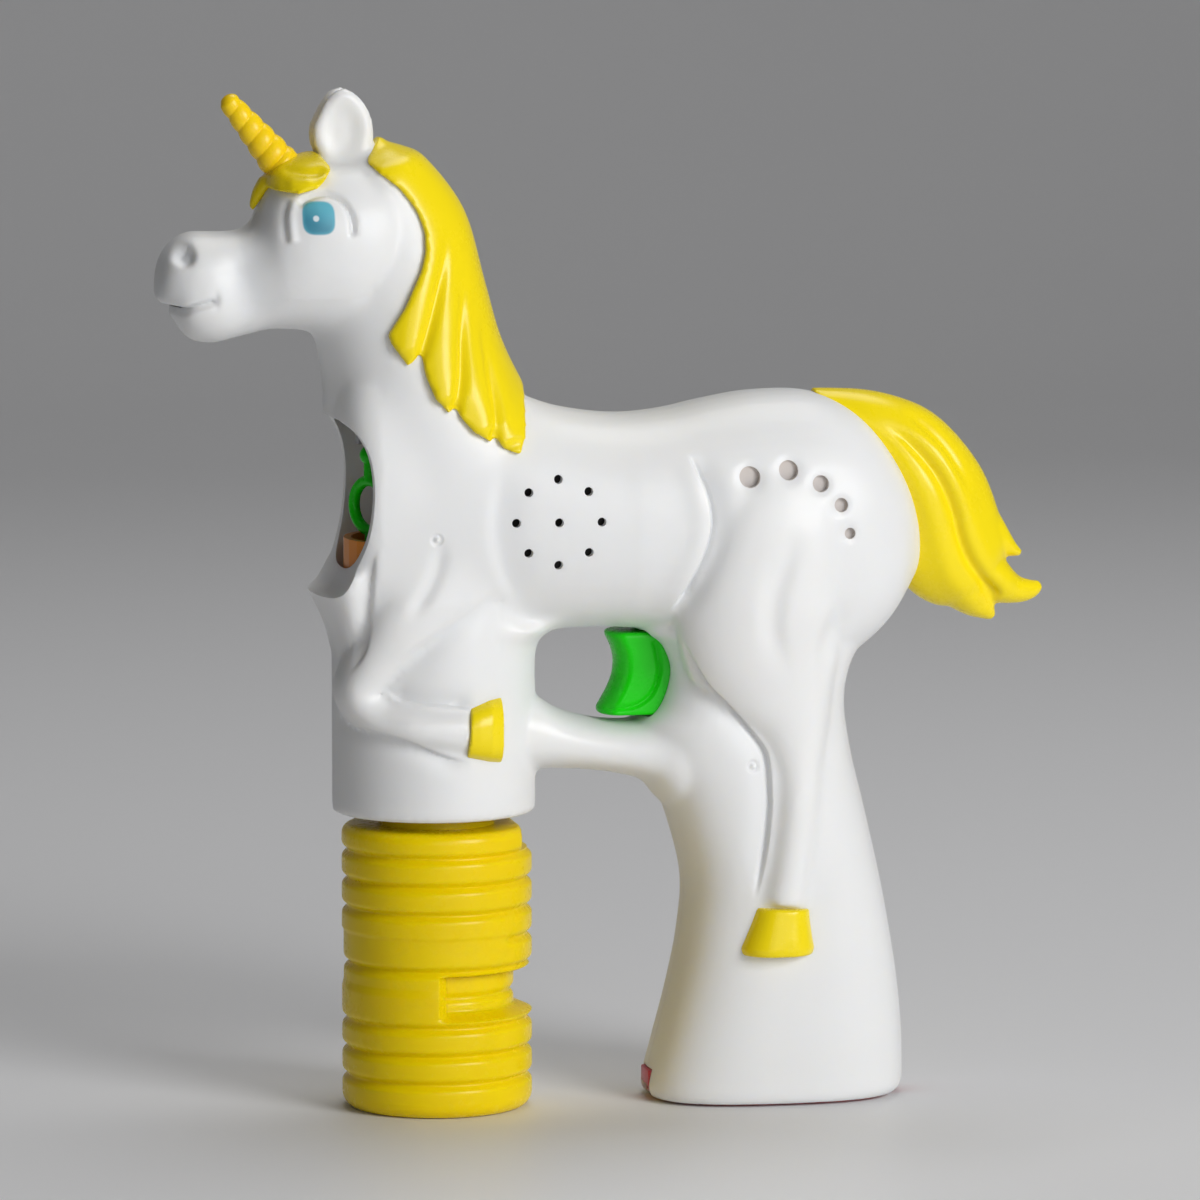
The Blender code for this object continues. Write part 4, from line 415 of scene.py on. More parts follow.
class BlowerFinish(bpy.types.PropertyGroup):
    """Colours of the toy."""
    white: bpy.props.FloatVectorProperty(
        name="Casing", description="White of the casing",
        subtype="COLOR", size=3, default=(0.82, 0.82, 0.815))
    yellow: bpy.props.FloatVectorProperty(
        name="Hair", description="Yellow of mane, tail and hooves",
        subtype="COLOR", size=3, default=(0.92, 0.72, 0.006))
    horn: bpy.props.FloatVectorProperty(
        name="Horn", description="Amber of the horn",
        subtype="COLOR", size=3, default=(0.99, 0.67, 0.008))
    bottle: bpy.props.FloatVectorProperty(
        name="Bottle", description="Yellow of the bottle",
        subtype="COLOR", size=3, default=(0.9, 0.65, 0.0))
    green: bpy.props.FloatVectorProperty(
        name="Trigger", description="Green of trigger and ring",
        subtype="COLOR", size=3, default=(0.008, 0.64, 0.003))
    orange: bpy.props.FloatVectorProperty(
        name="Tray", description="Orange of the drip tray",
        subtype="COLOR", size=3, default=(0.93, 0.3, 0.01))
    red: bpy.props.FloatVectorProperty(
        name="Door", description="Red of the battery door",
        subtype="COLOR", size=3, default=(0.5, 0.015, 0.025))
    iris: bpy.props.FloatVectorProperty(
        name="Iris", description="Blue of the eyes", subtype="COLOR", size=3, default=(0.13, 0.48, 0.6))
    # Painted shade: a dull beige that stands for the shade inside the rump's vent wells
    well: bpy.props.FloatVectorProperty(
        name="Vent well shade", description="Painted shade: dull beige in the rump's round wells", subtype="COLOR", size=3,
        default=(0.62, 0.56, 0.52))


class BlowerStage(bpy.types.PropertyGroup):
    """Camera and light."""
    azimuth: bpy.props.FloatProperty(
        name="Azimuth", description="Turn of the camera about the toy",
        subtype="ANGLE", default=math.radians(-11.0))
    elevation: bpy.props.FloatProperty(
        name="Elevation", description="Rise of the camera", subtype="ANGLE", default=math.radians(6.5))
    distance: bpy.props.FloatProperty(
        name="Distance", description="Camera to the toy's middle", unit="LENGTH", default=1.6)
    lens: bpy.props.FloatProperty(name="Lens", description="Focal length, mm", default=234.1)
    key: bpy.props.FloatProperty(name="Key light", description="Power of the main lamp, W", default=16.8)


# Mesh helpers

def linked(data, name):
    item = bpy.data.objects.new(name, data)
    bpy.context.scene.collection.objects.link(item)
    return item


def from_bmesh(bm, name):
    """A bmesh becomes an object with its faces pointing out."""
    bmesh.ops.recalc_face_normals(bm, faces=bm.faces)
    mesh = bpy.data.meshes.new(name)
    bm.to_mesh(mesh)
    bm.free()
    return linked(mesh, name)


def bake(item):
    """Replace an object's mesh by what its modifiers make of it."""
    shown = item.evaluated_get(bpy.context.evaluated_depsgraph_get())
    mesh = bpy.data.meshes.new_from_object(shown)
    item.modifiers.clear()
    old = item.data
    item.data = mesh
    bpy.data.meshes.remove(old)
    return item


def carve(item, other, operation="DIFFERENCE"):
    """Boolean of one closed object with another, which is used up."""
    step = item.modifiers.new("carve", "BOOLEAN")
    step.operation = operation
    step.solver = "MANIFOLD"
    step.object = other
    bake(item)
    bpy.data.objects.remove(other, do_unlink=True)
    return item


def skin(bm, name, grid, passes):
    """Join overlapping closed forms into one soft skin."""
    item = from_bmesh(bm, name)
    cells = item.modifiers.new("cells", "REMESH")
    cells.mode = "VOXEL"
    cells.voxel_size = grid
    smooth = item.modifiers.new("smooth", "SMOOTH")
    smooth.factor = 0.5
    smooth.iterations = passes
    return bake(item)


def copy_of(item, name):
    return linked(item.data.copy(), name)


def finish_piece(item, name, finish, body, slot, *nodes, angle=35.0):
    """Scale a piece to metres, give it its finish, and set it on its body in place of its CAD nodes."""
    item.name = name
    item.data.name = name
    item.data.transform(Matrix.Scale(MM, 4))
    item.data.materials.clear()
    item.data.materials.append(finish)
    item.data.shade_smooth()
    item.data.set_sharp_from_angle(angle=math.radians(angle))
    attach(item, body)
    if nodes:
        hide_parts(*nodes)
    return item


def roll(bm, rows, sides, place):
    """Roll a grid into a tube whose point at (angle, row) is given by place, and close its ends."""
    sheet = bmesh.ops.create_grid(bm, x_segments=sides, y_segments=rows, size=1.0)["verts"]
    for vert in sheet:
        angle = (vert.co.x + 1.0) * math.pi
        row = round((vert.co.y + 1.0) / 2.0 * rows)
        vert.co = place(angle, row)
    bmesh.ops.remove_doubles(bm, verts=sheet, dist=1e-4)
    bmesh.ops.holes_fill(bm, edges=[edge for edge in bm.edges if edge.is_boundary], sides=0)


def cylinder(bm, start, end, radius, sides=32):
    start = Vector(start)
    end = Vector(end)
    turn = (end - start).to_track_quat("Z", "Y").to_matrix().to_4x4()
    return bmesh.ops.create_cone(
        bm, cap_ends=True, segments=sides, radius1=radius, radius2=radius, depth=(end - start).length,
        matrix=Matrix.Translation((start + end) / 2.0) @ turn)["verts"]


def block(bm, low, high):
    low = Vector(low)
    high = Vector(high)
    size = Matrix.Diagonal((*(high - low), 1.0))
    place = Matrix.Translation((low + high) / 2.0)
    return bmesh.ops.create_cube(bm, size=1.0, matrix=place @ size)["verts"]


def slab(first, last, name):
    """A block across the whole toy, between two places along Y."""
    bm = bmesh.new()
    low, high = sorted((first, last))
    block(bm, (-SLAB_REACH, low, SLAB_BOTTOM), (SLAB_REACH, high, SLAB_TOP))
    return from_bmesh(bm, name)


def soften_edges(bm, verts, width):
    edges = dict.fromkeys(edge for vert in verts for edge in vert.link_edges)
    bmesh.ops.bevel(
        bm, geom=list(edges), offset=width, offset_type="OFFSET", segments=3, profile=0.5, affect="EDGES",
        material=-1)


def extrude_outline(bm, outline, half_depth):
    """A side outline of (x, z) points made thick along Y."""
    face = bm.faces.new([bm.verts.new((x, -half_depth, z)) for x, z in outline])
    made = bmesh.ops.extrude_face_region(bm, geom=[face])
    moved = [part for part in made["geom"] if isinstance(part, bmesh.types.BMVert)]
    bmesh.ops.translate(bm, verts=moved, vec=(0.0, 2.0 * half_depth, 0.0))


def plate(outline, half_depth, name):
    bm = bmesh.new()
    extrude_outline(bm, outline, half_depth)
    return from_bmesh(bm, name)


# Lofts

def smooth_rows(rows, steps=ROW_STEPS):
    """Rows between the given ones, on a Catmull-Rom curve through them."""
    made = []
    last = len(rows) - 1
    for i in range(last):
        p0, p1, p2, p3 = rows[max(i - 1, 0)], rows[i], rows[i + 1], rows[min(i + 2, last)]
        for k in range(steps):
            t = k / steps
            made.append(tuple(
                b + 0.5 * t * (c - a + t * (2 * a - 5 * b + 4 * c - d + t * (3 * (b - c) + d - a)))
                for a, b, c, d in zip(p0, p1, p2, p3)))
    made.append(tuple(rows[-1]))
    return made


def edge_sections(rows):
    """Sections (centre, half span, half thickness) from pairs of edge points in the middle plane."""
    made = []
    for ax, az, bx, bz, half in rows:
        first = Vector((ax, 0.0, az))
        second = Vector((bx, 0.0, bz))
        made.append(((first + second) / 2.0, (second - first) / 2.0, half))
    return made


def limb_sections(rows, side):
    """Sections of a limb on one flank, square to its path."""
    made = []
    for i, (x, z, width, y, half) in enumerate(rows):
        ahead = rows[min(i + 1, len(rows) - 1)]
        behind = rows[max(i - 1, 0)]
        path = Vector((ahead[0] - behind[0], 0.0, ahead[1] - behind[1])).normalized()
        made.append((Vector((x, side * y, z)), Vector((-path.z, 0.0, path.x)) * width, half))
    return made


def loft(bm, sections, power, sides=48, inset=0.0):
    """A closed skin through superellipse sections, shrunk by the inset.

    A negative inset grows it, its ends too.
    """
    if inset < 0.0:
        ends = [(sections[0], sections[1]), (sections[-1], sections[-2])]
        first, last = [
            (end[0] + (end[0] - near[0]).normalized() * -inset, end[1], end[2]) for end, near in ends]
        sections = [first] + sections + [last]

    def place(angle, row):
        centre, span, half = sections[row]
        across = math.copysign(abs(math.cos(angle)) ** (2.0 / power), math.cos(angle))
        out = math.copysign(abs(math.sin(angle)) ** (2.0 / power), math.sin(angle))
        reach = max(span.length - inset, LEAST_REACH)
        thick = max(half - inset, LEAST_REACH)
        return centre + span.normalized() * (reach * across) + Vector((0.0, thick * out, 0.0))
    roll(bm, len(sections) - 1, sides, place)


def knee_back(x, z, width, y, half):
    """The right foreleg's knee stays behind the tube's front."""
    return x + KNEE_BACK * math.exp(-((z - KNEE_Z) / KNEE_SPREAD) ** 2), z, width, y, half


def armpit(bm):
    """A round fillet where the belly meets the rear of the bottle tube, above the finger hole."""
    core = TUBE_RADIUS - ARMPIT_ROOT
    low = ARMPIT_Z - ARMPIT_RADIUS
    top = ARMPIT_Z + ARMPIT_COVER
    steps = [(core, low)]
    for k in range(11):
        a = math.radians(9.0 * k)
        steps.append((TUBE_RADIUS + ARMPIT_RADIUS * (1.0 - math.cos(a)), low + ARMPIT_RADIUS * math.sin(a)))
    steps += [(steps[-1][0], top), (core, top)]
    start, rise = ARMPIT_TURN

    def place(angle, row):
        radius, z = steps[row]
        rear = min(max((math.cos(angle) - start) / rise, 0.0), 1.0)
        radius = core + (radius - core) * rear
        return Vector((TUBE_X + radius * math.cos(angle), radius * math.sin(angle), z))
    roll(bm, len(steps) - 1, 72, place)


def body_forms(inset=0.0, limbs=True):
    """The closed forms whose union is the body."""
    bm = bmesh.new()
    trim = slice(1, -1) if inset > 0.0 else slice(None)
    for rows, power in (
            (HEAD_ROWS[trim], 2.3), (NECK_ROWS, 2.1), (TORSO_ROWS[trim], 2.3), (HANDLE_ROWS, 2.7),
            (BAR_ROWS, 2.4)):
        loft(bm, edge_sections(smooth_rows(rows)), power, inset=inset)
    loft(bm, edge_sections(smooth_rows(CHEST_ROWS)), 3.0, inset=max(inset, 0.0))
    if limbs:
        cylinder(bm, (TUBE_X, 0.0, TUBE_BOTTOM), (TUBE_X, 0.0, TUBE_TOP), TUBE_RADIUS, 96)
        loft(bm, edge_sections(smooth_rows(LIP_ROWS)), 2.6)
        armpit(bm)
        for side in (-1.0, 1.0):
            foreleg = FORELEG_ROWS if side < 0.0 else [knee_back(*row) for row in FORELEG_ROWS]
            for rows in (EAR_ROWS, foreleg, HIND_LEG_ROWS):
                loft(bm, limb_sections(smooth_rows(rows), side), 2.2, 32)
    return bm


# Relief: offsets along the normals, in millimetres

class Relief:
    """The points of a skin and how far each is pushed out or in."""

    def __init__(self, item, slope=0.35):
        self.mesh = item.data
        count = len(self.mesh.vertices)
        points = np.empty(count * 3, dtype=np.float32)
        normals = np.empty(count * 3, dtype=np.float32)
        self.mesh.vertices.foreach_get("co", points)
        self.mesh.vertex_normals.foreach_get("vector", normals)
        self.points = points.reshape(-1, 3)
        self.normals = normals.reshape(-1, 3)
        self.push = np.zeros(count, dtype=np.float32)
        self.x = self.points[:, 0]
        self.z = self.points[:, 2]
        self.flank = np.clip((np.abs(self.normals[:, 1]) - FLANK_TILT) / slope, 0.0, 1.0)

    def line(self, path):
        """Distance to a smooth path, the side of it (left is positive) and the share of its length."""
        path = smooth_rows(path, PATH_STEPS)
        reach = np.full(self.x.shape, 1e6, dtype=np.float32)
        side = np.zeros_like(reach)
        along = np.zeros_like(reach)
        lengths = [math.dist(a, b) for a, b in zip(path, path[1:])]
        start = 0.0
        for (ax, az), (bx, bz), length in zip(path, path[1:], lengths):
            dx = (bx - ax) / length
            dz = (bz - az) / length
            t = np.clip((self.x - ax) * dx + (self.z - az) * dz, 0.0, length)
            px = self.x - ax - t * dx
            pz = self.z - az - t * dz
            gap = np.hypot(px, pz)
            near = gap < reach
            reach[near] = gap[near]
            side[near] = np.sign(dx * pz - dz * px)[near]
            along[near] = (start + t)[near]
            start += length
        return reach, side, along / start

    def fade(self, along, start, end):
        """A weight that falls to 0 over a share of each end of a path."""
        ends = np.minimum(along / max(start, 1e-3), (1.0 - along) / max(end, 1e-3))
        ends = np.clip(ends, 0.0, 1.0)
        return ends * ends * (3.0 - 2.0 * ends)

    def groove(self, path, width, height, start=0.12, end=None, where=None):
        """A rounded groove, or a ridge where the height is positive, that fades over a share of each end."""
        reach, _, along = self.line(path)
        fade = self.fade(along, start, start if end is None else end)
        where = self.flank if where is None else where
        self.push += height * np.exp(-(reach / width) ** 2) * fade * where

    def step(self, path, low_side, width, depth, edge=0.7, share=0.2):
        """A sharp edge whose low side rises back over the given width."""
        reach, side, along = self.line(path)
        low = side * low_side > 0.0
        shape = np.where(low, np.exp(-(reach / width) ** 2), np.exp(-(reach / edge) ** 2))
        self.push -= depth * shape * self.fade(along, share, share) * self.flank

    def spot(self, place, radii, height, where=None, power=2.0):
        """A round hollow, or a bump where the height is positive."""
        u = (self.x - place[0]) / radii[0]
        v = (self.z - place[1]) / radii[1]
        made = height * np.exp(-(u * u + v * v) ** (power / 2.0))
        self.push += made * (self.flank if where is None else where)

    def apply(self):
        moved = self.points + self.normals * self.push[:, None]
        self.mesh.vertices.foreach_set("co", moved.ravel())
        self.mesh.update()


def soften(item, chosen, passes):
    """Relax the chosen points of a skin."""
    bm = bmesh.new()
    bm.from_mesh(item.data)
    verts = [vert for vert in bm.verts if chosen[vert.index]]
    for _ in range(passes):
        bmesh.ops.smooth_vert(bm, verts=verts, factor=0.5, use_axis_x=True, use_axis_y=True, use_axis_z=True)
    bm.to_mesh(item.data)
    bm.free()


def refine(item, chosen):
    """Halve the cells whose corners are all chosen."""
    bm = bmesh.new()
    bm.from_mesh(item.data)
    faces = [face for face in bm.faces if all(chosen[vert.index] for vert in face.verts)]
    edges = dict.fromkeys(edge for face in faces for edge in face.edges)
    bmesh.ops.subdivide_edges(bm, edges=list(edges), cuts=1, use_grid_fill=True)
    bm.to_mesh(item.data)
    bm.free()


def near(relief, lines, line_reach, spots=(), spot_reach=0.0):
    """Which points of the flanks lie near any of the lines or spots."""
    chosen = np.zeros(relief.x.shape, dtype=bool)
    for line in lines:
        chosen |= relief.line(line)[0] < line_reach
    for x, z in spots:
        chosen |= np.hypot(relief.x - x, relief.z - z) < spot_reach
    return chosen & (relief.flank > FLANK_LEAST)


def blend_body(item):
    """Run throat, shoulder and flank into each other, then give the face and the creases finer cells."""
    relief = Relief(item)
    x = relief.x
    y = np.abs(relief.points[:, 1])
    z = relief.z
    for x_low, x_high, z_low, z_high, y_low, passes in BLEND_ZONES:
        soften(item, (x > x_low) & (x < x_high) & (z > z_low) & (z < z_high) & (y > y_low), passes)
    relief = Relief(item)
    low, high, front = HEAD_CELLS
    face = (relief.z > low) & (relief.z < high) & (relief.x < front) & (relief.flank > FLANK_LEAST)
    edges = (FLANK_CREASE, THIGH_EDGE, ELBOW_EDGE, SHIN_TOP, SHIN_BOTTOM, FORELEG_FRONT)
    refine(item, face | near(relief, edges, 2.2))
    refine(item, near(Relief(item), (), 0.0, SINK_MARKS, 2.6))
    refine(item, near(Relief(item), (FLANK_CREASE, THIGH_EDGE), 1.1, SINK_MARKS, 2.0))


def beside(path, shift):
    return [(x + shift, z) for x, z in path]


def body_relief(item):
    """Folds, face and edges that the plain forms lack."""
    relief = Relief(item)
    everywhere = np.ones_like(relief.push)
    relief.step(FLANK_CREASE, 1.0, width=3.0, depth=1.3, edge=0.22, share=0.16)
    relief.groove(beside(FLANK_CREASE, 0.35), width=0.45, height=-0.75, start=0.16)
    relief.groove(beside(FLANK_CREASE, -2.2), width=2.0, height=0.35, start=0.2)
    relief.step(THIGH_EDGE, -1.0, width=3.2, depth=0.9, edge=0.3)
    relief.groove(beside(THIGH_EDGE, -0.35), width=0.45, height=-0.6)
    relief.step(ELBOW_EDGE, 1.0, width=3.4, depth=0.8, edge=1.4, share=0.35)
    relief.step(SHIN_TOP, 1.0, width=2.4, depth=1.0, edge=0.4)
    relief.step(SHIN_BOTTOM, -1.0, width=2.4, depth=1.1, edge=0.4)
    relief.step(FORELEG_FRONT, -1.0, width=2.4, depth=1.3, edge=0.5, share=0.3)
    relief.groove(CHEST_FOLD, width=1.5, height=-0.7, start=0.3)
    relief.groove(CHEEK, width=4.5, height=-1.3, start=0.3)
    relief.step(SHOULDER_EDGE, 1.0, width=4.5, depth=0.7, edge=1.8, share=0.3)
    for fold in RUMP_FOLDS:
        relief.groove(fold, width=2.3, height=-0.85, start=0.35)
    relief.groove(LID_BAR, width=0.9, height=0.6)
    relief.groove(beside(LID_BAR, -1.3), width=0.7, height=-0.5, start=0.2)
    relief.groove(LID_ARCH, width=0.6, height=-1.1, start=0.08)
    relief.spot(EYE_BULGE, (3.6, 3.6), height=0.3)
    relief.spot(NOSTRIL, (2.1, 2.2), height=-1.7, power=4.0)
    relief.groove(MOUTH_LINE, width=0.7, height=-1.3, start=0.05, end=0.08, where=everywhere)
    relief.groove(MOUTH_LINE[:4], width=1.3, height=-0.6, start=0.05, end=0.6, where=everywhere)
    relief.spot(MOUTH_LINE[-1], (0.7, 1.4), height=-0.7)
    inner, slope = EAR_OUTER
    outer = np.clip((np.abs(relief.points[:, 1]) - inner) / slope, 0.0, 1.0)
    outer = outer * relief.flank * (relief.z > EAR_BOTTOM)
    relief.spot(EAR_CUP, (4.1, 6.0), height=-1.7, where=outer, power=4.0)
    for mark in SINK_MARKS:
        relief.spot(mark, (1.2, 1.2), height=-0.5, power=6.0)
        relief.spot(mark, (0.55, 0.55), height=0.7)
    for x, z, radius in RUMP_VENTS:
        relief.spot((x, z), (radius * 1.35, radius * 1.35), height=-0.4, power=6.0)
    relief.apply()


# Shader groups and finishes

def group_tree(name, inputs, outputs):
    """A shader node group with its sockets, and its input and output nodes."""
    tree = bpy.data.node_groups.new(name, "ShaderNodeTree")
    for label, kind in inputs:
        tree.interface.new_socket(name=label, in_out="INPUT", socket_type=kind)
    for label, kind in outputs:
        tree.interface.new_socket(name=label, in_out="OUTPUT", socket_type=kind)
    return tree, tree.nodes.new("NodeGroupInput"), tree.nodes.new("NodeGroupOutput")


def node(tree, kind, **values):
    made = tree.nodes.new(kind)
    for label, value in values.items():
        setattr(made, label, value)
    return made


def math_node(tree, operation, first, second=None):
    made = node(tree, "ShaderNodeMath", operation=operation)
    for socket, value in zip(made.inputs, (first, second)):
        if value is None:
            continue
        if isinstance(value, (int, float)):
            socket.default_value = value
        else:
            tree.links.new(value, socket)
    return made.outputs[0]


def mix_colour(tree, share, first, second, blend="MIX"):
    made = node(tree, "ShaderNodeMix", data_type="RGBA", blend_type=blend)
    for socket, value in ((made.inputs[0], share), (made.inputs[6], first), (made.inputs[7], second)):
        if isinstance(value, (int, float)):
            socket.default_value = value
        elif isinstance(value, tuple):
            socket.default_value = (*value, 1.0)
        else:
            tree.links.new(value, socket)
    return made.outputs[2]


def ramp(tree, value, low, high, first=0.0, second=1.0):
    made = node(tree, "ShaderNodeMapRange", interpolation_type="SMOOTHSTEP")
    tree.links.new(value, made.inputs["Value"])
    made.inputs["From Min"].default_value = low
    made.inputs["From Max"].default_value = high
    made.inputs["To Min"].default_value = first
    made.inputs["To Max"].default_value = second
    return made.outputs["Result"]


def moulded_group():
    """Slow clouds in the colour, and fine moulding texture in roughness and height."""
    if "moulded_surface" in bpy.data.node_groups:
        return bpy.data.node_groups["moulded_surface"]
    tree, given, made = group_tree(
        "moulded_surface",
        [("Vector", VECTOR), ("Colour", COLOUR), ("Shade", COLOUR), ("Cloud", NUMBER),
         ("Cloud Scale", NUMBER), ("Grain Scale", NUMBER), ("Roughness", NUMBER), ("Spread", NUMBER)],
        [("Colour", COLOUR), ("Roughness", NUMBER), ("Height", NUMBER)])
    cloud = node(tree, "ShaderNodeTexNoise")
    cloud.inputs["Detail"].default_value = 4.0
    grain = node(tree, "ShaderNodeTexNoise")
    grain.inputs["Detail"].default_value = 3.0
    for texture, scale in ((cloud, "Cloud Scale"), (grain, "Grain Scale")):
        tree.links.new(given.outputs["Vector"], texture.inputs["Vector"])
        tree.links.new(given.outputs[scale], texture.inputs["Scale"])
    patches = ramp(tree, cloud.outputs["Fac"], 0.35, 0.68)
    share = math_node(tree, "MULTIPLY", patches, given.outputs["Cloud"])
    shown = mix_colour(tree, share, given.outputs["Colour"], given.outputs["Shade"])
    tree.links.new(shown, made.inputs["Colour"])
    centred = math_node(tree, "SUBTRACT", grain.outputs["Fac"], 0.5)
    wander = math_node(tree, "MULTIPLY", centred, given.outputs["Spread"])
    smear = math_node(tree, "MULTIPLY", patches, 0.04)
    rough = math_node(tree, "ADD", math_node(tree, "ADD", given.outputs["Roughness"], wander), smear)
    tree.links.new(rough, made.inputs["Roughness"])
    tree.links.new(grain.outputs["Fac"], made.inputs["Height"])
    return tree


def paint_group(name, paint):
    """A group that paints places on the casing: its tree, its ends and the split Object coordinates."""
    tree, given, made = group_tree(
        name, [("Vector", VECTOR), ("Colour", COLOUR), (paint, COLOUR)], [("Colour", COLOUR)])
    apart = node(tree, "ShaderNodeSeparateXYZ")
    tree.links.new(given.outputs["Vector"], apart.inputs[0])
    return tree, given, made, apart


def squared_sum(tree, first, second):
    squares = [math_node(tree, "MULTIPLY", part, part) for part in (first, second)]
    return math_node(tree, "ADD", *squares)


def eye_group():
    """Painted eyes: a soft blue iris with a darker foot and a small light, on both sides of the head."""
    tree, given, made, apart = paint_group("painted_eye", "Iris")
    blue = given.outputs["Iris"]
    across = math_node(tree, "SUBTRACT", apart.outputs["X"], EYE_PLACE[0] * MM)
    up = math_node(tree, "SUBTRACT", apart.outputs["Z"], EYE_PLACE[1] * MM)
    u = math_node(tree, "DIVIDE", across, EYE_HALF[0] * MM)
    v = math_node(tree, "DIVIDE", up, EYE_HALF[1] * MM)
    powers = [math_node(tree, "POWER", math_node(tree, "ABSOLUTE", part), EYE_SQUARENESS) for part in (u, v)]
    span = math_node(tree, "ADD", *powers)
    depth = math_node(tree, "ABSOLUTE", apart.outputs["Y"])
    outward = math_node(tree, "GREATER_THAN", depth, EYE_LEAST_Y * MM)
    iris = math_node(tree, "MULTIPLY", ramp(tree, span, 1.12, 0.72), outward)
    slant = math_node(tree, "ADD", v, math_node(tree, "MULTIPLY", u, 0.5))
    foot = ramp(tree, slant, 0.9, -0.7, 0.0, 0.75)
    dark = mix_colour(tree, 1.0, blue, (0.22, 0.42, 0.52), "MULTIPLY")
    shaded = mix_colour(tree, foot, blue, dark)
    rim = ramp(tree, span, 0.35, 0.9, 0.0, 0.55)
    shaded = mix_colour(tree, rim, shaded, blue)
    light = squared_sum(tree, math_node(tree, "ADD", u, 0.17), math_node(tree, "ADD", v, 0.02))
    shaded = mix_colour(tree, ramp(tree, light, 0.05, 0.012, 0.0, 0.85), shaded, (0.85, 0.9, 0.92))
    tree.links.new(mix_colour(tree, iris, given.outputs["Colour"], shaded), made.inputs["Colour"])
    return tree


def vent_shade_group():
    """Painted shade: a dull beige that stands for the shade inside the rump's round wells, on both flanks."""
    tree, given, made, apart = paint_group("vent_well_shade", "Well Shade")
    shown = given.outputs["Colour"]
    for x, z, radius in RUMP_VENTS:
        across = math_node(tree, "SUBTRACT", apart.outputs["X"], x * MM)
        up = math_node(tree, "SUBTRACT", apart.outputs["Z"], z * MM)
        reach = math_node(tree, "SQRT", squared_sum(tree, across, up))
        inside = ramp(tree, reach, (radius + 0.1) * MM, (radius - 0.1) * MM)
        # painted shade mixed into each well
        shown = mix_colour(tree, inside, shown, given.outputs["Well Shade"])
    tree.links.new(shown, made.inputs["Colour"])
    return tree


def moulded(
        name, colour, shade=0.86, cloud=0.5, cloud_scale=26.0, grain_scale=900.0, roughness=0.3, spread=0.08,
        bump=0.05, metallic=0.0, coat=0.0, specular=0.5, subsurface=0.0, glow=(1.0, 0.7, 0.2),
        transmission=0.0, paints=()):
    """A moulded finish on Object coordinates; constants are set on the shader itself."""
    if name in bpy.data.materials:
        return bpy.data.materials[name]
    finish = bpy.data.materials.new(name)
    finish.use_nodes = True
    tree = finish.node_tree
    shader = tree.nodes["Principled BSDF"]
    place = node(tree, "ShaderNodeTexCoord")
    surface = node(tree, "ShaderNodeGroup", node_tree=moulded_group())
    colour = tuple(colour)
    shadow = tuple(shade * part for part in colour)
    for label, value in (
            ("Colour", (*colour, 1.0)), ("Shade", (*shadow, 1.0)), ("Cloud", cloud),
            ("Cloud Scale", cloud_scale), ("Grain Scale", grain_scale), ("Roughness", roughness),
            ("Spread", spread)):
        surface.inputs[label].default_value = value
    tree.links.new(place.outputs["Object"], surface.inputs["Vector"])
    shown = surface.outputs["Colour"]
    for group, label, paint in paints:
        painted = node(tree, "ShaderNodeGroup", node_tree=group())
        painted.inputs[label].default_value = (*paint, 1.0)
        tree.links.new(place.outputs["Object"], painted.inputs["Vector"])
        tree.links.new(shown, painted.inputs["Colour"])
        shown = painted.outputs["Colour"]
    tree.links.new(shown, shader.inputs["Base Color"])
    tree.links.new(surface.outputs["Roughness"], shader.inputs["Roughness"])
    relief = node(tree, "ShaderNodeBump")
    relief.inputs["Strength"].default_value = bump
    relief.inputs["Distance"].default_value = 0.0001
    tree.links.new(surface.outputs["Height"], relief.inputs["Height"])
    tree.links.new(relief.outputs["Normal"], shader.inputs["Normal"])
    for label, value in (
            ("Metallic", metallic), ("Coat Weight", coat), ("Coat Roughness", 0.08),
            ("Subsurface Weight", subsurface), ("Specular IOR Level", specular), ("Subsurface Radius", glow),
            ("Subsurface Scale", 0.004), ("Transmission Weight", transmission)):
        shader.inputs[label].default_value = value
    finish.diffuse_color = (*colour, 1.0)
    return finish


def white_finish():
    colours = bpy.context.scene.blower_finish
    # The casing's paints: the painted eyes, and painted shade inside the rump's vent wells
    return moulded(
        "white_casing", colours.white, shade=0.97, cloud=0.6, cloud_scale=18.0, roughness=0.4, spread=0.06,
        bump=0.03, coat=0.04, subsurface=0.35, glow=(1.0, 0.85, 0.65),
        paints=((eye_group, "Iris", colours.iris), (vent_shade_group, "Well Shade", colours.well)))


def yellow_finish():
    return moulded(
        "yellow_hair", bpy.context.scene.blower_finish.yellow, shade=0.94, cloud=0.5, cloud_scale=40.0,
        roughness=0.26, spread=0.06, bump=0.015, coat=0.04, specular=0.3)


def green_finish():
    return moulded(
        "green_lever", bpy.context.scene.blower_finish.green, shade=0.85, cloud=0.4, cloud_scale=60.0,
        roughness=0.26, bump=0.02, specular=0.25)


def steel_finish():
    return moulded(
        "steel_parts", (0.55, 0.56, 0.57), shade=0.8, cloud=0.6, cloud_scale=150.0, grain_scale=1600.0,
        roughness=0.3, spread=0.15, bump=0.08, metallic=1.0)


# Pieces

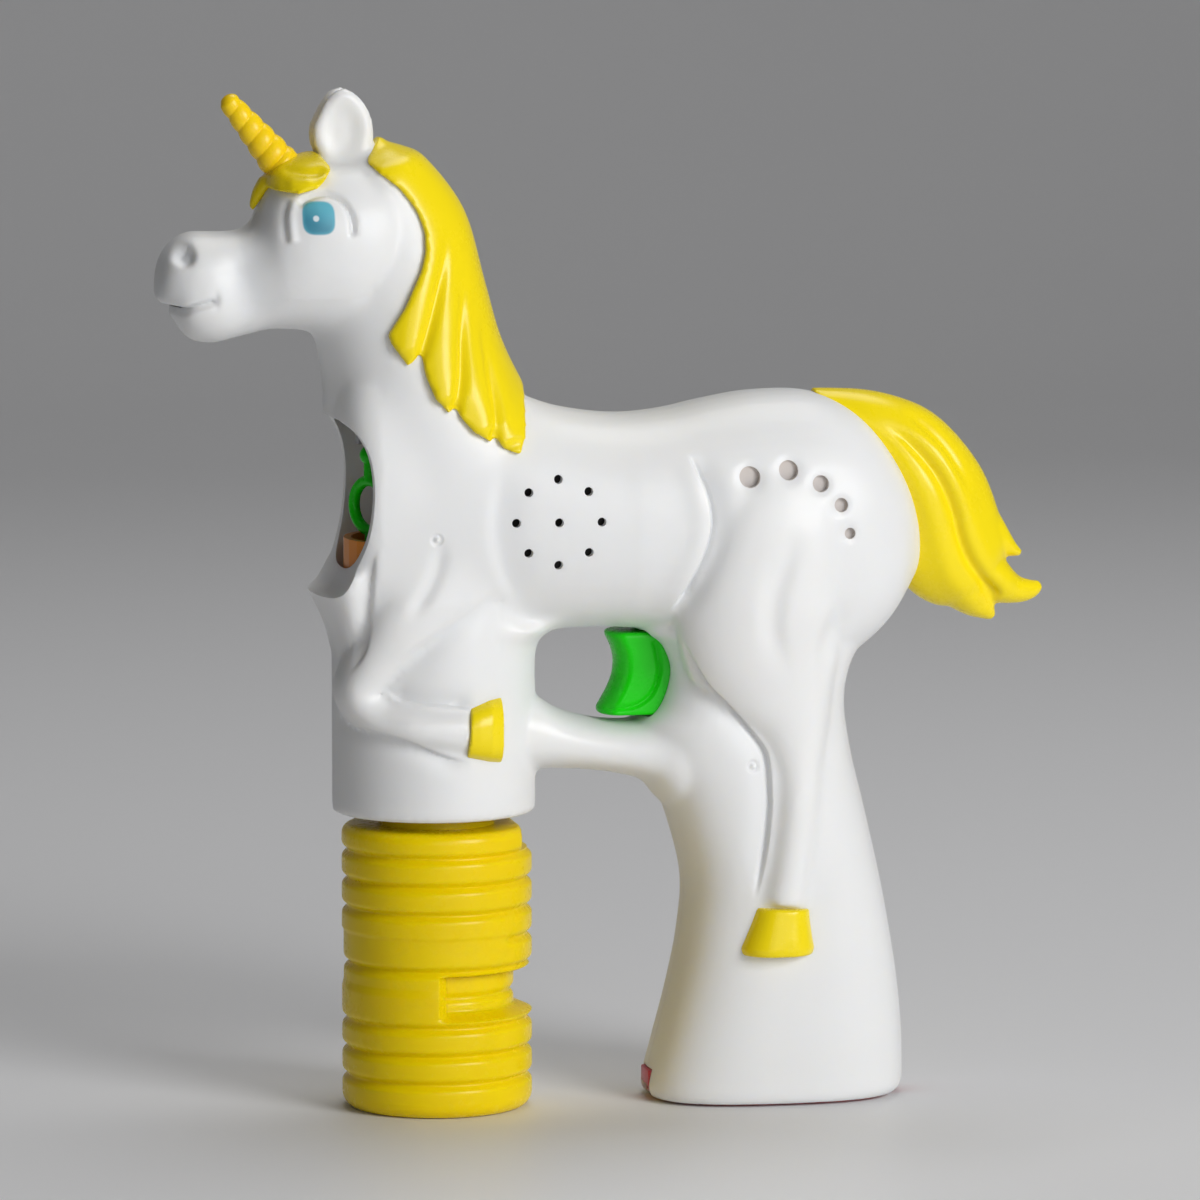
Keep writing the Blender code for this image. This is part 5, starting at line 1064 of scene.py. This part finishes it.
class BLOWER_OT_casing(bpy.types.Operator):
    """Build the two casing halves: soft skin, face, folds, openings and holes"""
    bl_idname = "blower.casing"
    bl_label = "Casing halves"

    def execute(self, context):
        form = context.scene.blower_form
        body = skin(body_forms(), "body", form.grid, 8)
        blend_body(body)
        body_relief(body)
        holes = self.holes(body)
        carve(body, skin(body_forms(form.wall, limbs=False), "space", SPACE_GRID, 4))
        carve(body, self.tube_bore(form.wall))
        carve(body, plate(self.bite(), CUT_HALF_DEPTH, "bite"))
        carve(body, self.slot())
        front = DOOR_X - DOOR_SIZE[0] + NOTCH_OVERLAP
        rear = DOOR_X + DOOR_SIZE[0] - NOTCH_OVERLAP
        half = CLIP_SIZE[0] + CLEARANCE
        for low, high in ((NOTCH_ENDS[0], front), (rear, NOTCH_ENDS[1])):
            notch = bmesh.new()
            block(notch, (low, -half, NOTCH_BOTTOM), (high, half, CLIP_SIZE[2] + CLEARANCE))
            carve(body, from_bmesh(notch, "notch"))
        carve(body, holes)
        right = copy_of(body, "right")
        carve(body, slab(-SEAM_GAP, SLAB_DEPTH, "right_side"))
        carve(right, slab(SEAM_GAP, -SLAB_DEPTH, "left_side"))
        carve(right, self.screw_wells())
        finish = white_finish()
        finish_piece(body, "casing_left_shell", finish, "casing", "white_plastic", "left_casing")
        finish_piece(right, "casing_right_shell", finish, "casing", "white_plastic", "right_casing")
        return {"FINISHED"}

    def tube_bore(self, wall):
        """The space in the bottle tube, with a lip at its bottom and a shelf."""
        low, high, inner = SHELF
        bore = TUBE_RADIUS - wall
        lip, lip_height = BORE_LIP
        lip_top = TUBE_BOTTOM + lip_height
        steps = [
            (TUBE_BOTTOM - BORE_START, bore - lip), (lip_top, bore - lip), (lip_top, bore), (low, bore),
            (low, inner), (high, inner), (high, bore), (TUBE_TOP, bore)]
        bm = bmesh.new()

        def place(angle, row):
            z, radius = steps[row]
            return Vector((TUBE_X + radius * math.cos(angle), radius * math.sin(angle), z))
        roll(bm, len(steps) - 1, 64, place)
        return from_bmesh(bm, "bore")

    def bite(self):
        """Side outline of the chest opening: a smooth curve between two plain corners."""
        return [CHEST_BITE[0]] + smooth_rows(CHEST_BITE[1:-1]) + [CHEST_BITE[-1]]

    def slot(self):
        bm = bmesh.new()
        half = TRIGGER_HALF_WIDTH + CLEARANCE
        x_low, x_high, z_low, z_high = TRIGGER_SLOT
        soften_edges(bm, block(bm, (x_low, -half, z_low), (x_high, half, z_high)), SLOT_EDGE)
        return from_bmesh(bm, "slot")

    def holes(self, body):
        """Sound holes through the left half, and the rump's row of round wells with a thin floor."""
        bm = bmesh.new()
        x, z = SOUND_CENTRE
        spots = [SOUND_CENTRE]
        for k in range(SOUND_COUNT):
            angle = 2.0 * math.pi * k / SOUND_COUNT
            spots.append((x + SOUND_CIRCLE * math.cos(angle), z + SOUND_CIRCLE * math.sin(angle)))
        for x, z in spots:
            cylinder(bm, (x, -SOUND_INNER_Y, z), (x, -HOLE_OUTER_Y, z), SOUND_RADIUS, HOLE_SIDES)
        surface = Relief(body)
        for x, z, radius in RUMP_VENTS:
            nearest = np.argmin(np.hypot(surface.x - x, surface.z - z))
            floor = abs(float(surface.points[nearest, 1])) - VENT_DEPTH
            for side in (-1.0, 1.0):
                cylinder(bm, (x, side * floor, z), (x, side * HOLE_OUTER_Y, z), radius, HOLE_SIDES)
        return from_bmesh(bm, "holes")

    def screw_wells(self):
        bm = bmesh.new()
        for x, z in SCREW_PLACES:
            cylinder(bm, (x, SCREW_SEAT_Y, z), (x, CUT_HALF_DEPTH, z), WELL_RADIUS)
        return from_bmesh(bm, "wells")


class BLOWER_OT_hair(bpy.types.Operator):
    """Build the mane and the forelock as thick locks that stand proud of the casing"""
    bl_idname = "blower.hair"
    bl_label = "Mane and forelock"

    def execute(self, context):
        form = context.scene.blower_form
        for name, outline, share in (
                ("mane", MANE_OUTLINE, 1.0), ("forelock", FORELOCK_OUTLINE, FORELOCK_RISE)):
            hair = skin(body_forms(-share * form.mane_rise, limbs=False), name, HAIR_FIRST_GRID, 4)
            carve(hair, plate(outline, CUT_HALF_DEPTH, "outline"), "INTERSECT")
            carve(hair, skin(body_forms(HAIR_ROOT, limbs=False), "inner", HAIR_ROOT_GRID, 4))
            bm = bmesh.new()
            bm.from_mesh(hair.data)
            bpy.data.objects.remove(hair, do_unlink=True)
            if name == "forelock":
                loft(bm, limb_sections(smooth_rows(FRINGE_ROWS, PATH_STEPS), 1.0), 2.0, 20)
            hair = skin(bm, name, form.hair_grid, 10)
            self.comb(hair, name, form.lock_depth)
            finish_piece(hair, name + "_locks", yellow_finish(), "casing", "yellow_plastic", name, angle=60.0)
        return {"FINISHED"}

    def comb(self, hair, name, depth):
        """Valleys between the locks, and rounded locks."""
        relief = Relief(hair, slope=0.75)
        if name == "mane":
            for valley in MANE_VALLEYS:
                relief.groove(valley, width=1.1, height=-depth, start=0.02, end=0.6)
            for lock in MANE_LOCKS:
                relief.groove(lock, width=3.2, height=0.9 * depth, start=0.08, end=0.7)
        else:
            relief.groove(FORELOCK_VALLEY, width=0.8, height=-depth, start=0.15, end=0.3)
            relief.groove(FORELOCK_RIDGE, width=1.3, height=0.6 * depth, start=0.3)
        relief.apply()


class BLOWER_OT_tail(bpy.types.Operator):
    """Build the tail with its three tips and combed valleys"""
    bl_idname = "blower.tail"
    bl_label = "Tail"

    def execute(self, context):
        form = context.scene.blower_form
        bm = bmesh.new()
        loft(bm, edge_sections(smooth_rows(TAIL_ROWS)), 2.0, 40)
        for rows in TAIL_TIPS:
            loft(bm, limb_sections(smooth_rows(rows), 1.0), 2.0, 24)
        tail = skin(bm, "tail", form.hair_grid, 6)
        relief = Relief(tail)
        for valley, share, end in zip(TAIL_VALLEYS, (1.3, 0.9), (0.05, 0.4)):
            relief.groove(valley, width=1.1, height=-share * form.lock_depth, start=0.25, end=end)
        for lock in TAIL_LOCKS:
            relief.groove(lock, width=2.6, height=0.7 * form.lock_depth, start=0.3, end=0.1)
        relief.apply()
        finish_piece(tail, "tail_locks", yellow_finish(), "casing", "yellow_plastic", "tail", angle=60.0)
        return {"FINISHED"}


class BLOWER_OT_hooves(bpy.types.Operator):
    """Build the four hooves as flared caps on the ends of the legs"""
    bl_idname = "blower.hooves"
    bl_label = "Hooves"

    def execute(self, context):
        for side, label in ((-1.0, "left"), (1.0, "right")):
            for place, rows in (("front", FRONT_HOOF_ROWS), ("hind", HIND_HOOF_ROWS)):
                sections = [
                    (Vector((x, side * y, z)), Vector((span_x, 0.0, span_z)), half)
                    for x, y, z, span_x, span_z, half in rows]
                name = "hoof_" + place + "_" + label
                bm = bmesh.new()
                loft(bm, sections, 2.6, 40)
                hoof = skin(bm, name, 0.35, 3)
                carve(hoof, slab(-side * SLAB_DEPTH, side * HOOF_INNER_Y, "inside"))
                finish = yellow_finish()
                finish_piece(hoof, name + "_cap", finish, "casing", "yellow_plastic", name, angle=50.0)
        return {"FINISHED"}


class BLOWER_OT_horn(bpy.types.Operator):
    """Build the horn as one spiral of bulges that narrows to a round tip"""
    bl_idname = "blower.horn"
    bl_label = "Horn"

    def execute(self, context):
        sideways = Vector((0.0, 1.0, 0.0))
        across = HORN_AXIS.cross(sideways)
        thick, thin = HORN_RADII

        def place(angle, row):
            along = HORN_ROOT + (HORN_LENGTH - HORN_ROOT) * (row / HORN_ROWS)
            share = max(along, 0.0) / HORN_LENGTH
            radius = thick + (thin - thick) * share
            wave = abs(math.sin(math.pi * (HORN_TURNS * share) + angle / 2.0))
            if along > 0.0:
                radius *= 0.88 + 0.14 * wave ** 0.6
            cap = max(0.0, (along - HORN_LENGTH + HORN_TIP) / HORN_TIP)
            radius *= math.sqrt(max(1.0 - cap * cap, 0.0))
            out = across * math.cos(angle) + sideways * math.sin(angle)
            return HORN_BASE + HORN_AXIS * along + out * max(radius, 0.02)
        bm = bmesh.new()
        roll(bm, HORN_ROWS, 48, place)
        finish = moulded(
            "amber_horn", context.scene.blower_finish.horn, shade=0.9, cloud=0.5, cloud_scale=60.0,
            roughness=0.26, bump=0.015, specular=0.3, subsurface=0.15)
        horn = from_bmesh(bm, "horn_twist")
        finish_piece(horn, "horn_twist", finish, "casing", "amber_plastic", "horn", angle=60.0)
        return {"FINISHED"}


class BLOWER_OT_bottle(bpy.types.Operator):
    """Build the ribbed bottle with its flat panel, rear pockets and open neck"""
    bl_idname = "blower.bottle"
    bl_label = "Bottle"

    def execute(self, context):
        depth = context.scene.blower_form.groove_depth
        outer = [0.0, 0.0, 0.15, 0.45, 0.9, 1.5, 2.2, 3.0] + [3.2 + 0.3 * k for k in range(179)]
        outer += [57.2, 57.6, 58.0, 58.3, 58.5, SHOULDER_TOP]
        outer += [SHOULDER_TOP, 59.4, 61.0, 61.4, 62.2, 62.6, 64.4, 64.8, 65.6, 66.0, 68.0, 71.4, 71.8, 72.0]
        inner = [72.0, 71.8, 58.0, 57.4, 57.0, 55.0, 50.0, 40.0, 31.0, 28.0, 24.0, 18.0]
        inner += [6.0, 4.0, 2.4, 1.5, 1.3]
        neck_start = outer.index(SHOULDER_TOP)
        rows = [(z, True) for z in outer] + [(z, False) for z in inner]
        bm = bmesh.new()

        def place(angle, row):
            z, outside = rows[row]
            if row == 0:
                radius = BASE_RADIUS
            elif outside:
                radius = self.neck_radius(z) if row > neck_start else self.outer_radius(z, angle, depth)
            else:
                radius = self.inner_radius(z, angle)
            return Vector((BOTTLE_X + radius * math.cos(angle), radius * math.sin(angle), z))
        roll(bm, len(rows) - 1, 128, place)
        finish = moulded(
            "bottle_wall", context.scene.blower_finish.bottle, shade=0.88, cloud=0.6, cloud_scale=30.0,
            grain_scale=700.0, roughness=0.26, bump=0.02, specular=0.22, subsurface=0.4)
        bottle = from_bmesh(bm, "bottle_body")
        finish_piece(bottle, "bottle_body", finish, "bottle", "bottle_yellow", "bottle", angle=50.0)
        return {"FINISHED"}

    def rear_share(self, angle):
        """1 on the pocketed rear, 0 on the front, with a short slope between."""
        lean = (math.cos(angle) + 0.14) / 0.08
        share = min(max(lean, 0.0), 1.0)
        return share * share * (3.0 - 2.0 * share)

    def band_share(self, z, low, high):
        """1 inside a band of heights, with a slope at its bottom and a steeper one at its top."""
        rise = min(max((z - low) / 1.6, 0.0), 1.0)
        fall = min(max((high - z) / 0.6, 0.0), 1.0)
        return min(rise, fall)

    def groove_sum(self, z, grooves):
        return sum(math.exp(-((z - groove) / GROOVE_WIDTH) ** 2) for groove in grooves)

    def neck_radius(self, z):
        thread = THREAD_RISE if any(low < z < high for low, high in THREADS) else 0.0
        return (NECK_RIM_RADIUS if z > NECK_RIM_Z else NECK_RADIUS) + thread

    def outer_radius(self, z, angle, depth):
        rear = self.rear_share(angle)
        panel = self.rear_share(math.pi - angle + 0.6)
        rounds = BOTTLE_RADIUS
        if z < BASE_ROUND_TOP:
            drop = (BASE_ROUND_TOP - z) / BASE_ROUND_TOP
            rounds = BOTTLE_RADIUS - BASE_ROUND + BASE_ROUND * math.sqrt(max(1.0 - drop ** 2, 0.0))
        elif z > SHOULDER_Z:
            drop = (z - SHOULDER_Z) / SHOULDER_ROUND
            rounds = BOTTLE_RADIUS - SHOULDER_ROUND + SHOULDER_ROUND * math.sqrt(max(1.0 - drop ** 2, 0.0))
        all_round = self.groove_sum(z, BOTTLE_GROOVES)
        fewer = self.groove_sum(z, PANEL_GROOVES)
        radius = rounds - depth * (all_round + (fewer - all_round) * panel)
        radius -= 0.35 * panel * self.band_share(z, *PANEL_BAND)
        pocket = min(POCKET_RADIUS, rounds) - 0.7 * depth * all_round
        radius += (pocket - radius) * rear * self.band_share(z, *POCKET_BAND)
        if z > FLAT_ABOVE and math.cos(angle) > 0.5:
            radius = min(radius, POCKET_RADIUS / math.cos(angle))
        return radius

    def inner_radius(self, z, angle):
        if z > 57.2:
            return NECK_BORE
        radius = INNER_RADIUS if z > 4.0 else INNER_RADIUS - (4.0 - z) * 0.9
        pocket = INNER_POCKET if 18.2 < z < 30.8 or z > 52.0 else radius
        return min(radius, radius + (pocket - radius) * self.rear_share(angle))


class BLOWER_OT_trigger(bpy.types.Operator):
    """Build the trigger with its hollowed, rounded front and rimmed sides"""
    bl_idname = "blower.trigger"
    bl_label = "Trigger"

    def execute(self, context):
        front = smooth_rows(TRIGGER_FRONT)[::-1]
        heights = [z for _, z in front]
        noses = [x for x, _ in front]
        low, high = heights[0], heights[-1]
        rows = [(low, 0.5), (low, 0.4), (low + 0.1, 0.2), (low + 0.3, 0.06), (low + 0.6, 0.0)]
        rows += [(low + 0.9 + 0.3 * k, 0.0) for k in range(51)]
        rows += [(high - 0.6, 0.06), (high - 0.3, 0.2), (high - 0.1, 0.45), (high, 0.8), (high, 0.9)]
        section = self.section()
        bm = bmesh.new()

        def place(angle, row):
            z, inset = rows[row]
            along, across = section[round(angle / (2.0 * math.pi) * len(section)) % len(section)]
            nose = float(np.interp(z, heights, noses)) + inset
            reach = TRIGGER_NOSE if along < 0.0 else TRIGGER_BACK - inset - nose - TRIGGER_NOSE
            return Vector((nose + TRIGGER_NOSE + along * reach, across * (TRIGGER_HALF_WIDTH - inset), z))
        roll(bm, len(rows) - 1, len(section), place)
        lever = from_bmesh(bm, "lever")
        relief = Relief(lever)
        relief.groove(TRIGGER_RIM, width=0.5, height=-0.5, start=0.03)
        relief.apply()
        pocket = bmesh.new()
        start, height, radius = SPRING_POCKET
        cylinder(pocket, (start, 0.0, height), (TRIGGER_BACK + 3.0, 0.0, height), radius, 40)
        carve(lever, from_bmesh(pocket, "pocket"))
        finish = green_finish()
        finish_piece(lever, "trigger_lever", finish, "trigger", "green_plastic", "trigger", angle=40.0)
        return {"FINISHED"}

    def section(self):
        """Plan outline in shares: a round nose ahead of 0, flat sides back to 1."""
        flank = [k / 60.0 for k in range(1, 61)]
        rear = [(along, 1.0) for along in flank[::-1]]
        nose = [math.radians(90.0 + 6.0 * k) for k in range(31)]
        rounded = [(math.cos(a), math.sin(a)) for a in nose]
        return rear + rounded + [(along, -1.0) for along in flank]


class BLOWER_OT_ring(bpy.types.Operator):
    """Build the bubble ring with its pivot, knob and crank"""
    bl_idname = "blower.ring"
    bl_label = "Bubble ring"

    def execute(self, context):
        bm = bmesh.new()
        circle = bmesh.ops.create_circle(bm, cap_ends=False, segments=20, radius=1.0)["verts"]
        bmesh.ops.scale(bm, vec=(*RING_RIM, 1.0), verts=circle)
        bmesh.ops.translate(bm, vec=(RING_RADIUS, 0.0, 0.0), verts=circle)
        bmesh.ops.spin(
            bm, geom=circle + list(bm.edges), cent=(0.0, 0.0, 0.0), axis=(0.0, 1.0, 0.0), angle=2.0 * math.pi,
            steps=72, use_merge=True)
        turn = Matrix.Rotation(math.radians(90.0) + RING_TURN, 4, "Z")
        bmesh.ops.transform(bm, matrix=Matrix.Translation((RING_X, 0.0, AIR_Z)) @ turn, verts=bm.verts)
        for low, high, radius in (
                (RING_FOOT_Z, AIR_Z - RING_STEM_END, 1.1), (AIR_Z + RING_STEM_END, RING_KNOB_Z, 1.27)):
            cylinder(bm, (RING_X, 0.0, low), (RING_X, 0.0, high), radius, 24)
        bmesh.ops.create_uvsphere(
            bm, u_segments=24, v_segments=16, radius=RING_KNOB_RADIUS,
            matrix=Matrix.Translation((RING_X, 0.0, RING_KNOB_Z)))
        cylinder(bm, (RING_X, 0.0, RING_KNOB_Z), (RING_X, 0.0, RING_TOP_Z), 1.0, 24)
        pin_x = RING_X + CRANK_PIN[0]
        pin_y = CRANK_PIN[1]
        cylinder(bm, (RING_X + 0.5, -0.8, CRANK_Z), (pin_x, pin_y, CRANK_Z), 0.8, 16)
        cylinder(bm, (pin_x, pin_y, RING_FOOT_Z), (pin_x, pin_y, CRANK_TOP_Z), 0.9, 20)
        ring = from_bmesh(bm, "ring_wand")
        finish_piece(ring, "ring_wand", green_finish(), "ring", "green_plastic", "bubble_ring", angle=40.0)
        return {"FINISHED"}


class BLOWER_OT_door(bpy.types.Operator):
    """Build the battery door with its two clips and screw well"""
    bl_idname = "blower.door"
    bl_label = "Battery door"

    def execute(self, context):
        length, width, top = DOOR_SIZE
        steps = [(0.0, 2.4), (0.0, 0.9), (0.12, 0.5), (0.35, 0.2), (0.8, 0.0), (top - 0.3, 0.0), (top, 0.3)]
        sections = [
            (Vector((DOOR_X, 0.0, z)), Vector((length - inset, 0.0, 0.0)), width - inset)
            for z, inset in steps]
        bm = bmesh.new()
        loft(bm, sections, 2.7, 96)
        door = from_bmesh(bm, "door_plate")
        half, hook, clip_top = CLIP_SIZE
        front = DOOR_X - length
        rear = DOOR_X + length
        for low, high, floor in (
                (front - 1.4, front + 1.6, CLIP_FOOT), (front - 2.5, front, hook),
                (rear - 1.6, rear + 1.6, CLIP_FOOT), (rear, rear + 2.7, hook)):
            clip = bmesh.new()
            soften_edges(clip, block(clip, (low, -half, floor), (high, half, clip_top)), CLIP_EDGE)
            carve(door, from_bmesh(clip, "clip"), "UNION")
        well = bmesh.new()
        cylinder(well, (*DOOR_SCREW, -2.0), (*DOOR_SCREW, 1.4), WELL_RADIUS)
        carve(door, from_bmesh(well, "well"))
        finish = moulded(
            "red_door", context.scene.blower_finish.red, shade=0.8, cloud=0.5, cloud_scale=50.0,
            roughness=0.28, bump=0.06)
        finish_piece(door, "door_plate", finish, "door", "red_plastic", "battery_door")
        return {"FINISHED"}


class BLOWER_OT_screws(bpy.types.Operator):
    """Build the casing screws and the door screw with cross recesses"""
    bl_idname = "blower.screws"
    bl_label = "Screws"

    def execute(self, context):
        casing = None
        for x, z in SCREW_PLACES:
            made = self.screw(SCREW_SEAT_Y + CLEARANCE, SCREW_TIP_Y)
            made.data.transform(Matrix.Translation((x, 0.0, z)))
            casing = made if casing is None else self.join(casing, made)
        nodes = ["casing_screw_" + name for name in SCREW_NAMES]
        finish_piece(casing, "casing_screws", steel_finish(), "casing", "steel", *nodes)
        door = self.screw(-1.1, -10.5)
        upright = Matrix.Rotation(math.radians(-90.0), 4, "X")
        door.data.transform(Matrix.Translation((*DOOR_SCREW, 0.0)) @ upright)
        finish_piece(door, "door_screw_head", steel_finish(), "door", "steel", "door_screw")
        return {"FINISHED"}

    def join(self, first, second):
        bm = bmesh.new()
        bm.from_mesh(first.data)
        bm.from_mesh(second.data)
        bpy.data.objects.remove(first, do_unlink=True)
        bpy.data.objects.remove(second, do_unlink=True)
        return from_bmesh(bm, "screws")

    def screw(self, seat, tip):
        """A screw along Y whose head stands on its seat, with a cross recess."""
        height = 1.8 if seat > 0.0 else 0.8
        profile = [
            (tip, 0.05), (tip + 1.6, 1.0), (seat, 1.0), (seat, 2.5), (seat + 0.55 * height, 2.45),
            (seat + 0.85 * height, 2.0), (seat + height, 1.2)]
        bm = bmesh.new()

        def place(angle, row):
            y, radius = profile[row]
            return Vector((radius * math.cos(angle), y, radius * math.sin(angle)))
        roll(bm, len(profile) - 1, 32, place)
        item = from_bmesh(bm, "screw")
        for size in ((1.5, 0.3), (0.3, 1.5)):
            slot = bmesh.new()
            block(slot, (-size[0], seat + 0.35 * height, -size[1]), (size[0], seat + height + 2.0, size[1]))
            carve(item, from_bmesh(slot, "slot"))
        return item


class BLOWER_OT_works(bpy.types.Operator):
    """Give the pieces inside, which keep their CAD shapes, their finishes"""
    bl_idname = "blower.works"
    bl_label = "Inner works"

    def execute(self, context):
        tray = context.scene.blower_finish.orange
        grey = moulded(
            "grey_housing", (0.33, 0.34, 0.35), cloud_scale=60.0, roughness=0.42, spread=0.12, bump=0.12)
        self.dress(grey, "bottle_socket", "fan_housing", "pump_housing")
        black = moulded(
            "black_parts", (0.03, 0.03, 0.034), shade=0.7, cloud_scale=80.0, roughness=0.45, bump=0.12)
        self.dress(black, "fan", "trigger_switch", "speaker")
        gears = moulded(
            "gear_nylon", (0.74, 0.73, 0.67), cloud_scale=90.0, roughness=0.45, bump=0.08, subsurface=0.1)
        self.dress(gears, "motor_pinion", "pump_rotor")
        orange = moulded("orange_tray", tray, shade=0.8, cloud_scale=60.0, roughness=0.32, bump=0.06)
        self.dress(orange, "drip_tray")
        rubber = moulded(
            "seal_ring", (0.62, 0.62, 0.62), cloud_scale=120.0, roughness=0.7, spread=0.2, bump=0.2)
        self.dress(rubber, "bottle_seal")
        hose = moulded(
            "clear_tube", (0.8, 0.84, 0.84), cloud_scale=80.0, roughness=0.15, bump=0.02, transmission=0.6)
        self.dress(hose, "suction_hose", "feed_hose")
        sleeve = moulded(
            "cell_wrap", (0.07, 0.08, 0.09), shade=0.6, cloud_scale=70.0, roughness=0.3, bump=0.03)
        self.dress(sleeve, "battery_cell_1", "battery_cell_2", "battery_cell_3")
        board = moulded(
            "board_lacquer", (0.02, 0.2, 0.07), shade=0.7, cloud_scale=140.0, roughness=0.4, bump=0.15)
        self.dress(board, "circuit_board")
        lens = moulded(
            "lamp_lens", (0.86, 0.86, 0.8), cloud_scale=90.0, roughness=0.12, bump=0.02, transmission=0.4)
        self.dress(lens, "horn_lamp")
        steel = steel_finish()
        self.dress(steel, "motor", "motor_shaft", "pump_axle", "trigger_rod", "trigger_spring")
        self.dress(steel, "battery_spring_1", "battery_spring_2", "battery_spring_3")
        self.dress(steel, "upper_contact", "door_contact")
        return {"FINISHED"}

    def dress(self, finish, *nodes):
        for name in nodes:
            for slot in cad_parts[name].material_slots:
                slot.link = "OBJECT"
                slot.material = finish


class BLOWER_OT_stage(bpy.types.Operator):
    """Set out the pale floor, the soft lamps and the camera"""
    bl_idname = "blower.stage"
    bl_label = "Stage"

    def execute(self, context):
        scene = context.scene
        stage = scene.blower_stage
        scene.view_settings.view_transform = "Standard"
        self.floor()
        self.world(scene)
        for name, place, size, share in LAMPS:
            self.lamp(name, place, size, stage.key * share)
        flat = math.cos(stage.elevation)
        away = Vector((
            math.sin(stage.azimuth) * flat, -math.cos(stage.azimuth) * flat, math.sin(stage.elevation)))
        data = bpy.data.cameras.new("camera")
        data.lens = stage.lens
        data.clip_start = 0.05
        camera = linked(data, "camera")
        camera.location = CAMERA_AIM + away * stage.distance
        camera.rotation_euler = (-away).to_track_quat("-Z", "Y").to_euler()
        scene.camera = camera
        return {"FINISHED"}

    def floor(self):
        """A floor that curves up into a backdrop."""
        bm = bmesh.new()
        bmesh.ops.create_grid(bm, x_segments=4, y_segments=40, size=3.0)
        bend = FLOOR_BEND_RADIUS
        for vert in bm.verts:
            back = vert.co.y - FLOOR_BEND_Y
            if back > 0.0:
                turn = min(back / bend, math.pi / 2.0)
                upright = max(back - bend * math.pi / 2.0, 0.0)
                vert.co.y = FLOOR_BEND_Y + bend * math.sin(turn)
                vert.co.z = bend * (1.0 - math.cos(turn)) + upright * BACKDROP_STRETCH
        item = from_bmesh(bm, "floor")
        item.data.shade_smooth()
        item.data.materials.append(moulded(
            "pale_floor", (0.8, 0.8, 0.81), shade=0.985, cloud=0.5, cloud_scale=2.0, grain_scale=60.0,
            roughness=0.5, spread=0.05, bump=0.0))

    def world(self, scene):
        world = bpy.data.worlds.new("studio")
        scene.world = world
        world.use_nodes = True
        back = world.node_tree.nodes["Background"]
        back.inputs["Color"].default_value = (1.0, 1.0, 1.0, 1.0)
        back.inputs["Strength"].default_value = WORLD_STRENGTH

    def lamp(self, name, place, size, power):
        data = bpy.data.lights.new(name, "AREA")
        data.shape = "DISK"
        data.size = size
        data.energy = power
        item = linked(data, name)
        item.location = place
        aim = LAMP_AIM - Vector(place)
        item.rotation_euler = aim.to_track_quat("-Z", "Y").to_euler()


class BLOWER_PT_panel(bpy.types.Panel):
    """Sizes, colours and the build steps of the toy"""
    bl_idname = "BLOWER_PT_panel"
    bl_label = "Bubble Blower"
    bl_space_type = "VIEW_3D"
    bl_region_type = "UI"
    bl_category = "Bubble Blower"

    def draw(self, context):
        for settings in (context.scene.blower_form, context.scene.blower_finish, context.scene.blower_stage):
            column = self.layout.column(align=True)
            for label in settings.__annotations__:
                column.prop(settings, label)
        for step in STEPS:
            self.layout.operator(step.bl_idname)


SETTINGS = {"blower_form": BlowerForm, "blower_finish": BlowerFinish, "blower_stage": BlowerStage}
STEPS = [
    BLOWER_OT_casing, BLOWER_OT_hair, BLOWER_OT_tail, BLOWER_OT_hooves, BLOWER_OT_horn, BLOWER_OT_bottle,
    BLOWER_OT_trigger, BLOWER_OT_ring, BLOWER_OT_door, BLOWER_OT_screws, BLOWER_OT_works, BLOWER_OT_stage,
]


def register():
    for kind in (*SETTINGS.values(), *STEPS, BLOWER_PT_panel):
        bpy.utils.register_class(kind)
    for name, kind in SETTINGS.items():
        setattr(bpy.types.Scene, name, bpy.props.PointerProperty(type=kind))


def unregister():
    for name in SETTINGS:
        delattr(bpy.types.Scene, name)
    for kind in reversed((*SETTINGS.values(), *STEPS, BLOWER_PT_panel)):
        bpy.utils.unregister_class(kind)


def main():
    register()
    bpy.ops.blower.casing()
    bpy.ops.blower.hair()
    bpy.ops.blower.tail()
    bpy.ops.blower.hooves()
    bpy.ops.blower.horn()
    bpy.ops.blower.bottle()
    bpy.ops.blower.trigger()
    bpy.ops.blower.ring()
    bpy.ops.blower.door()
    bpy.ops.blower.screws()
    bpy.ops.blower.works()
    bpy.ops.blower.stage()


if __name__ == "__main__":
    main()
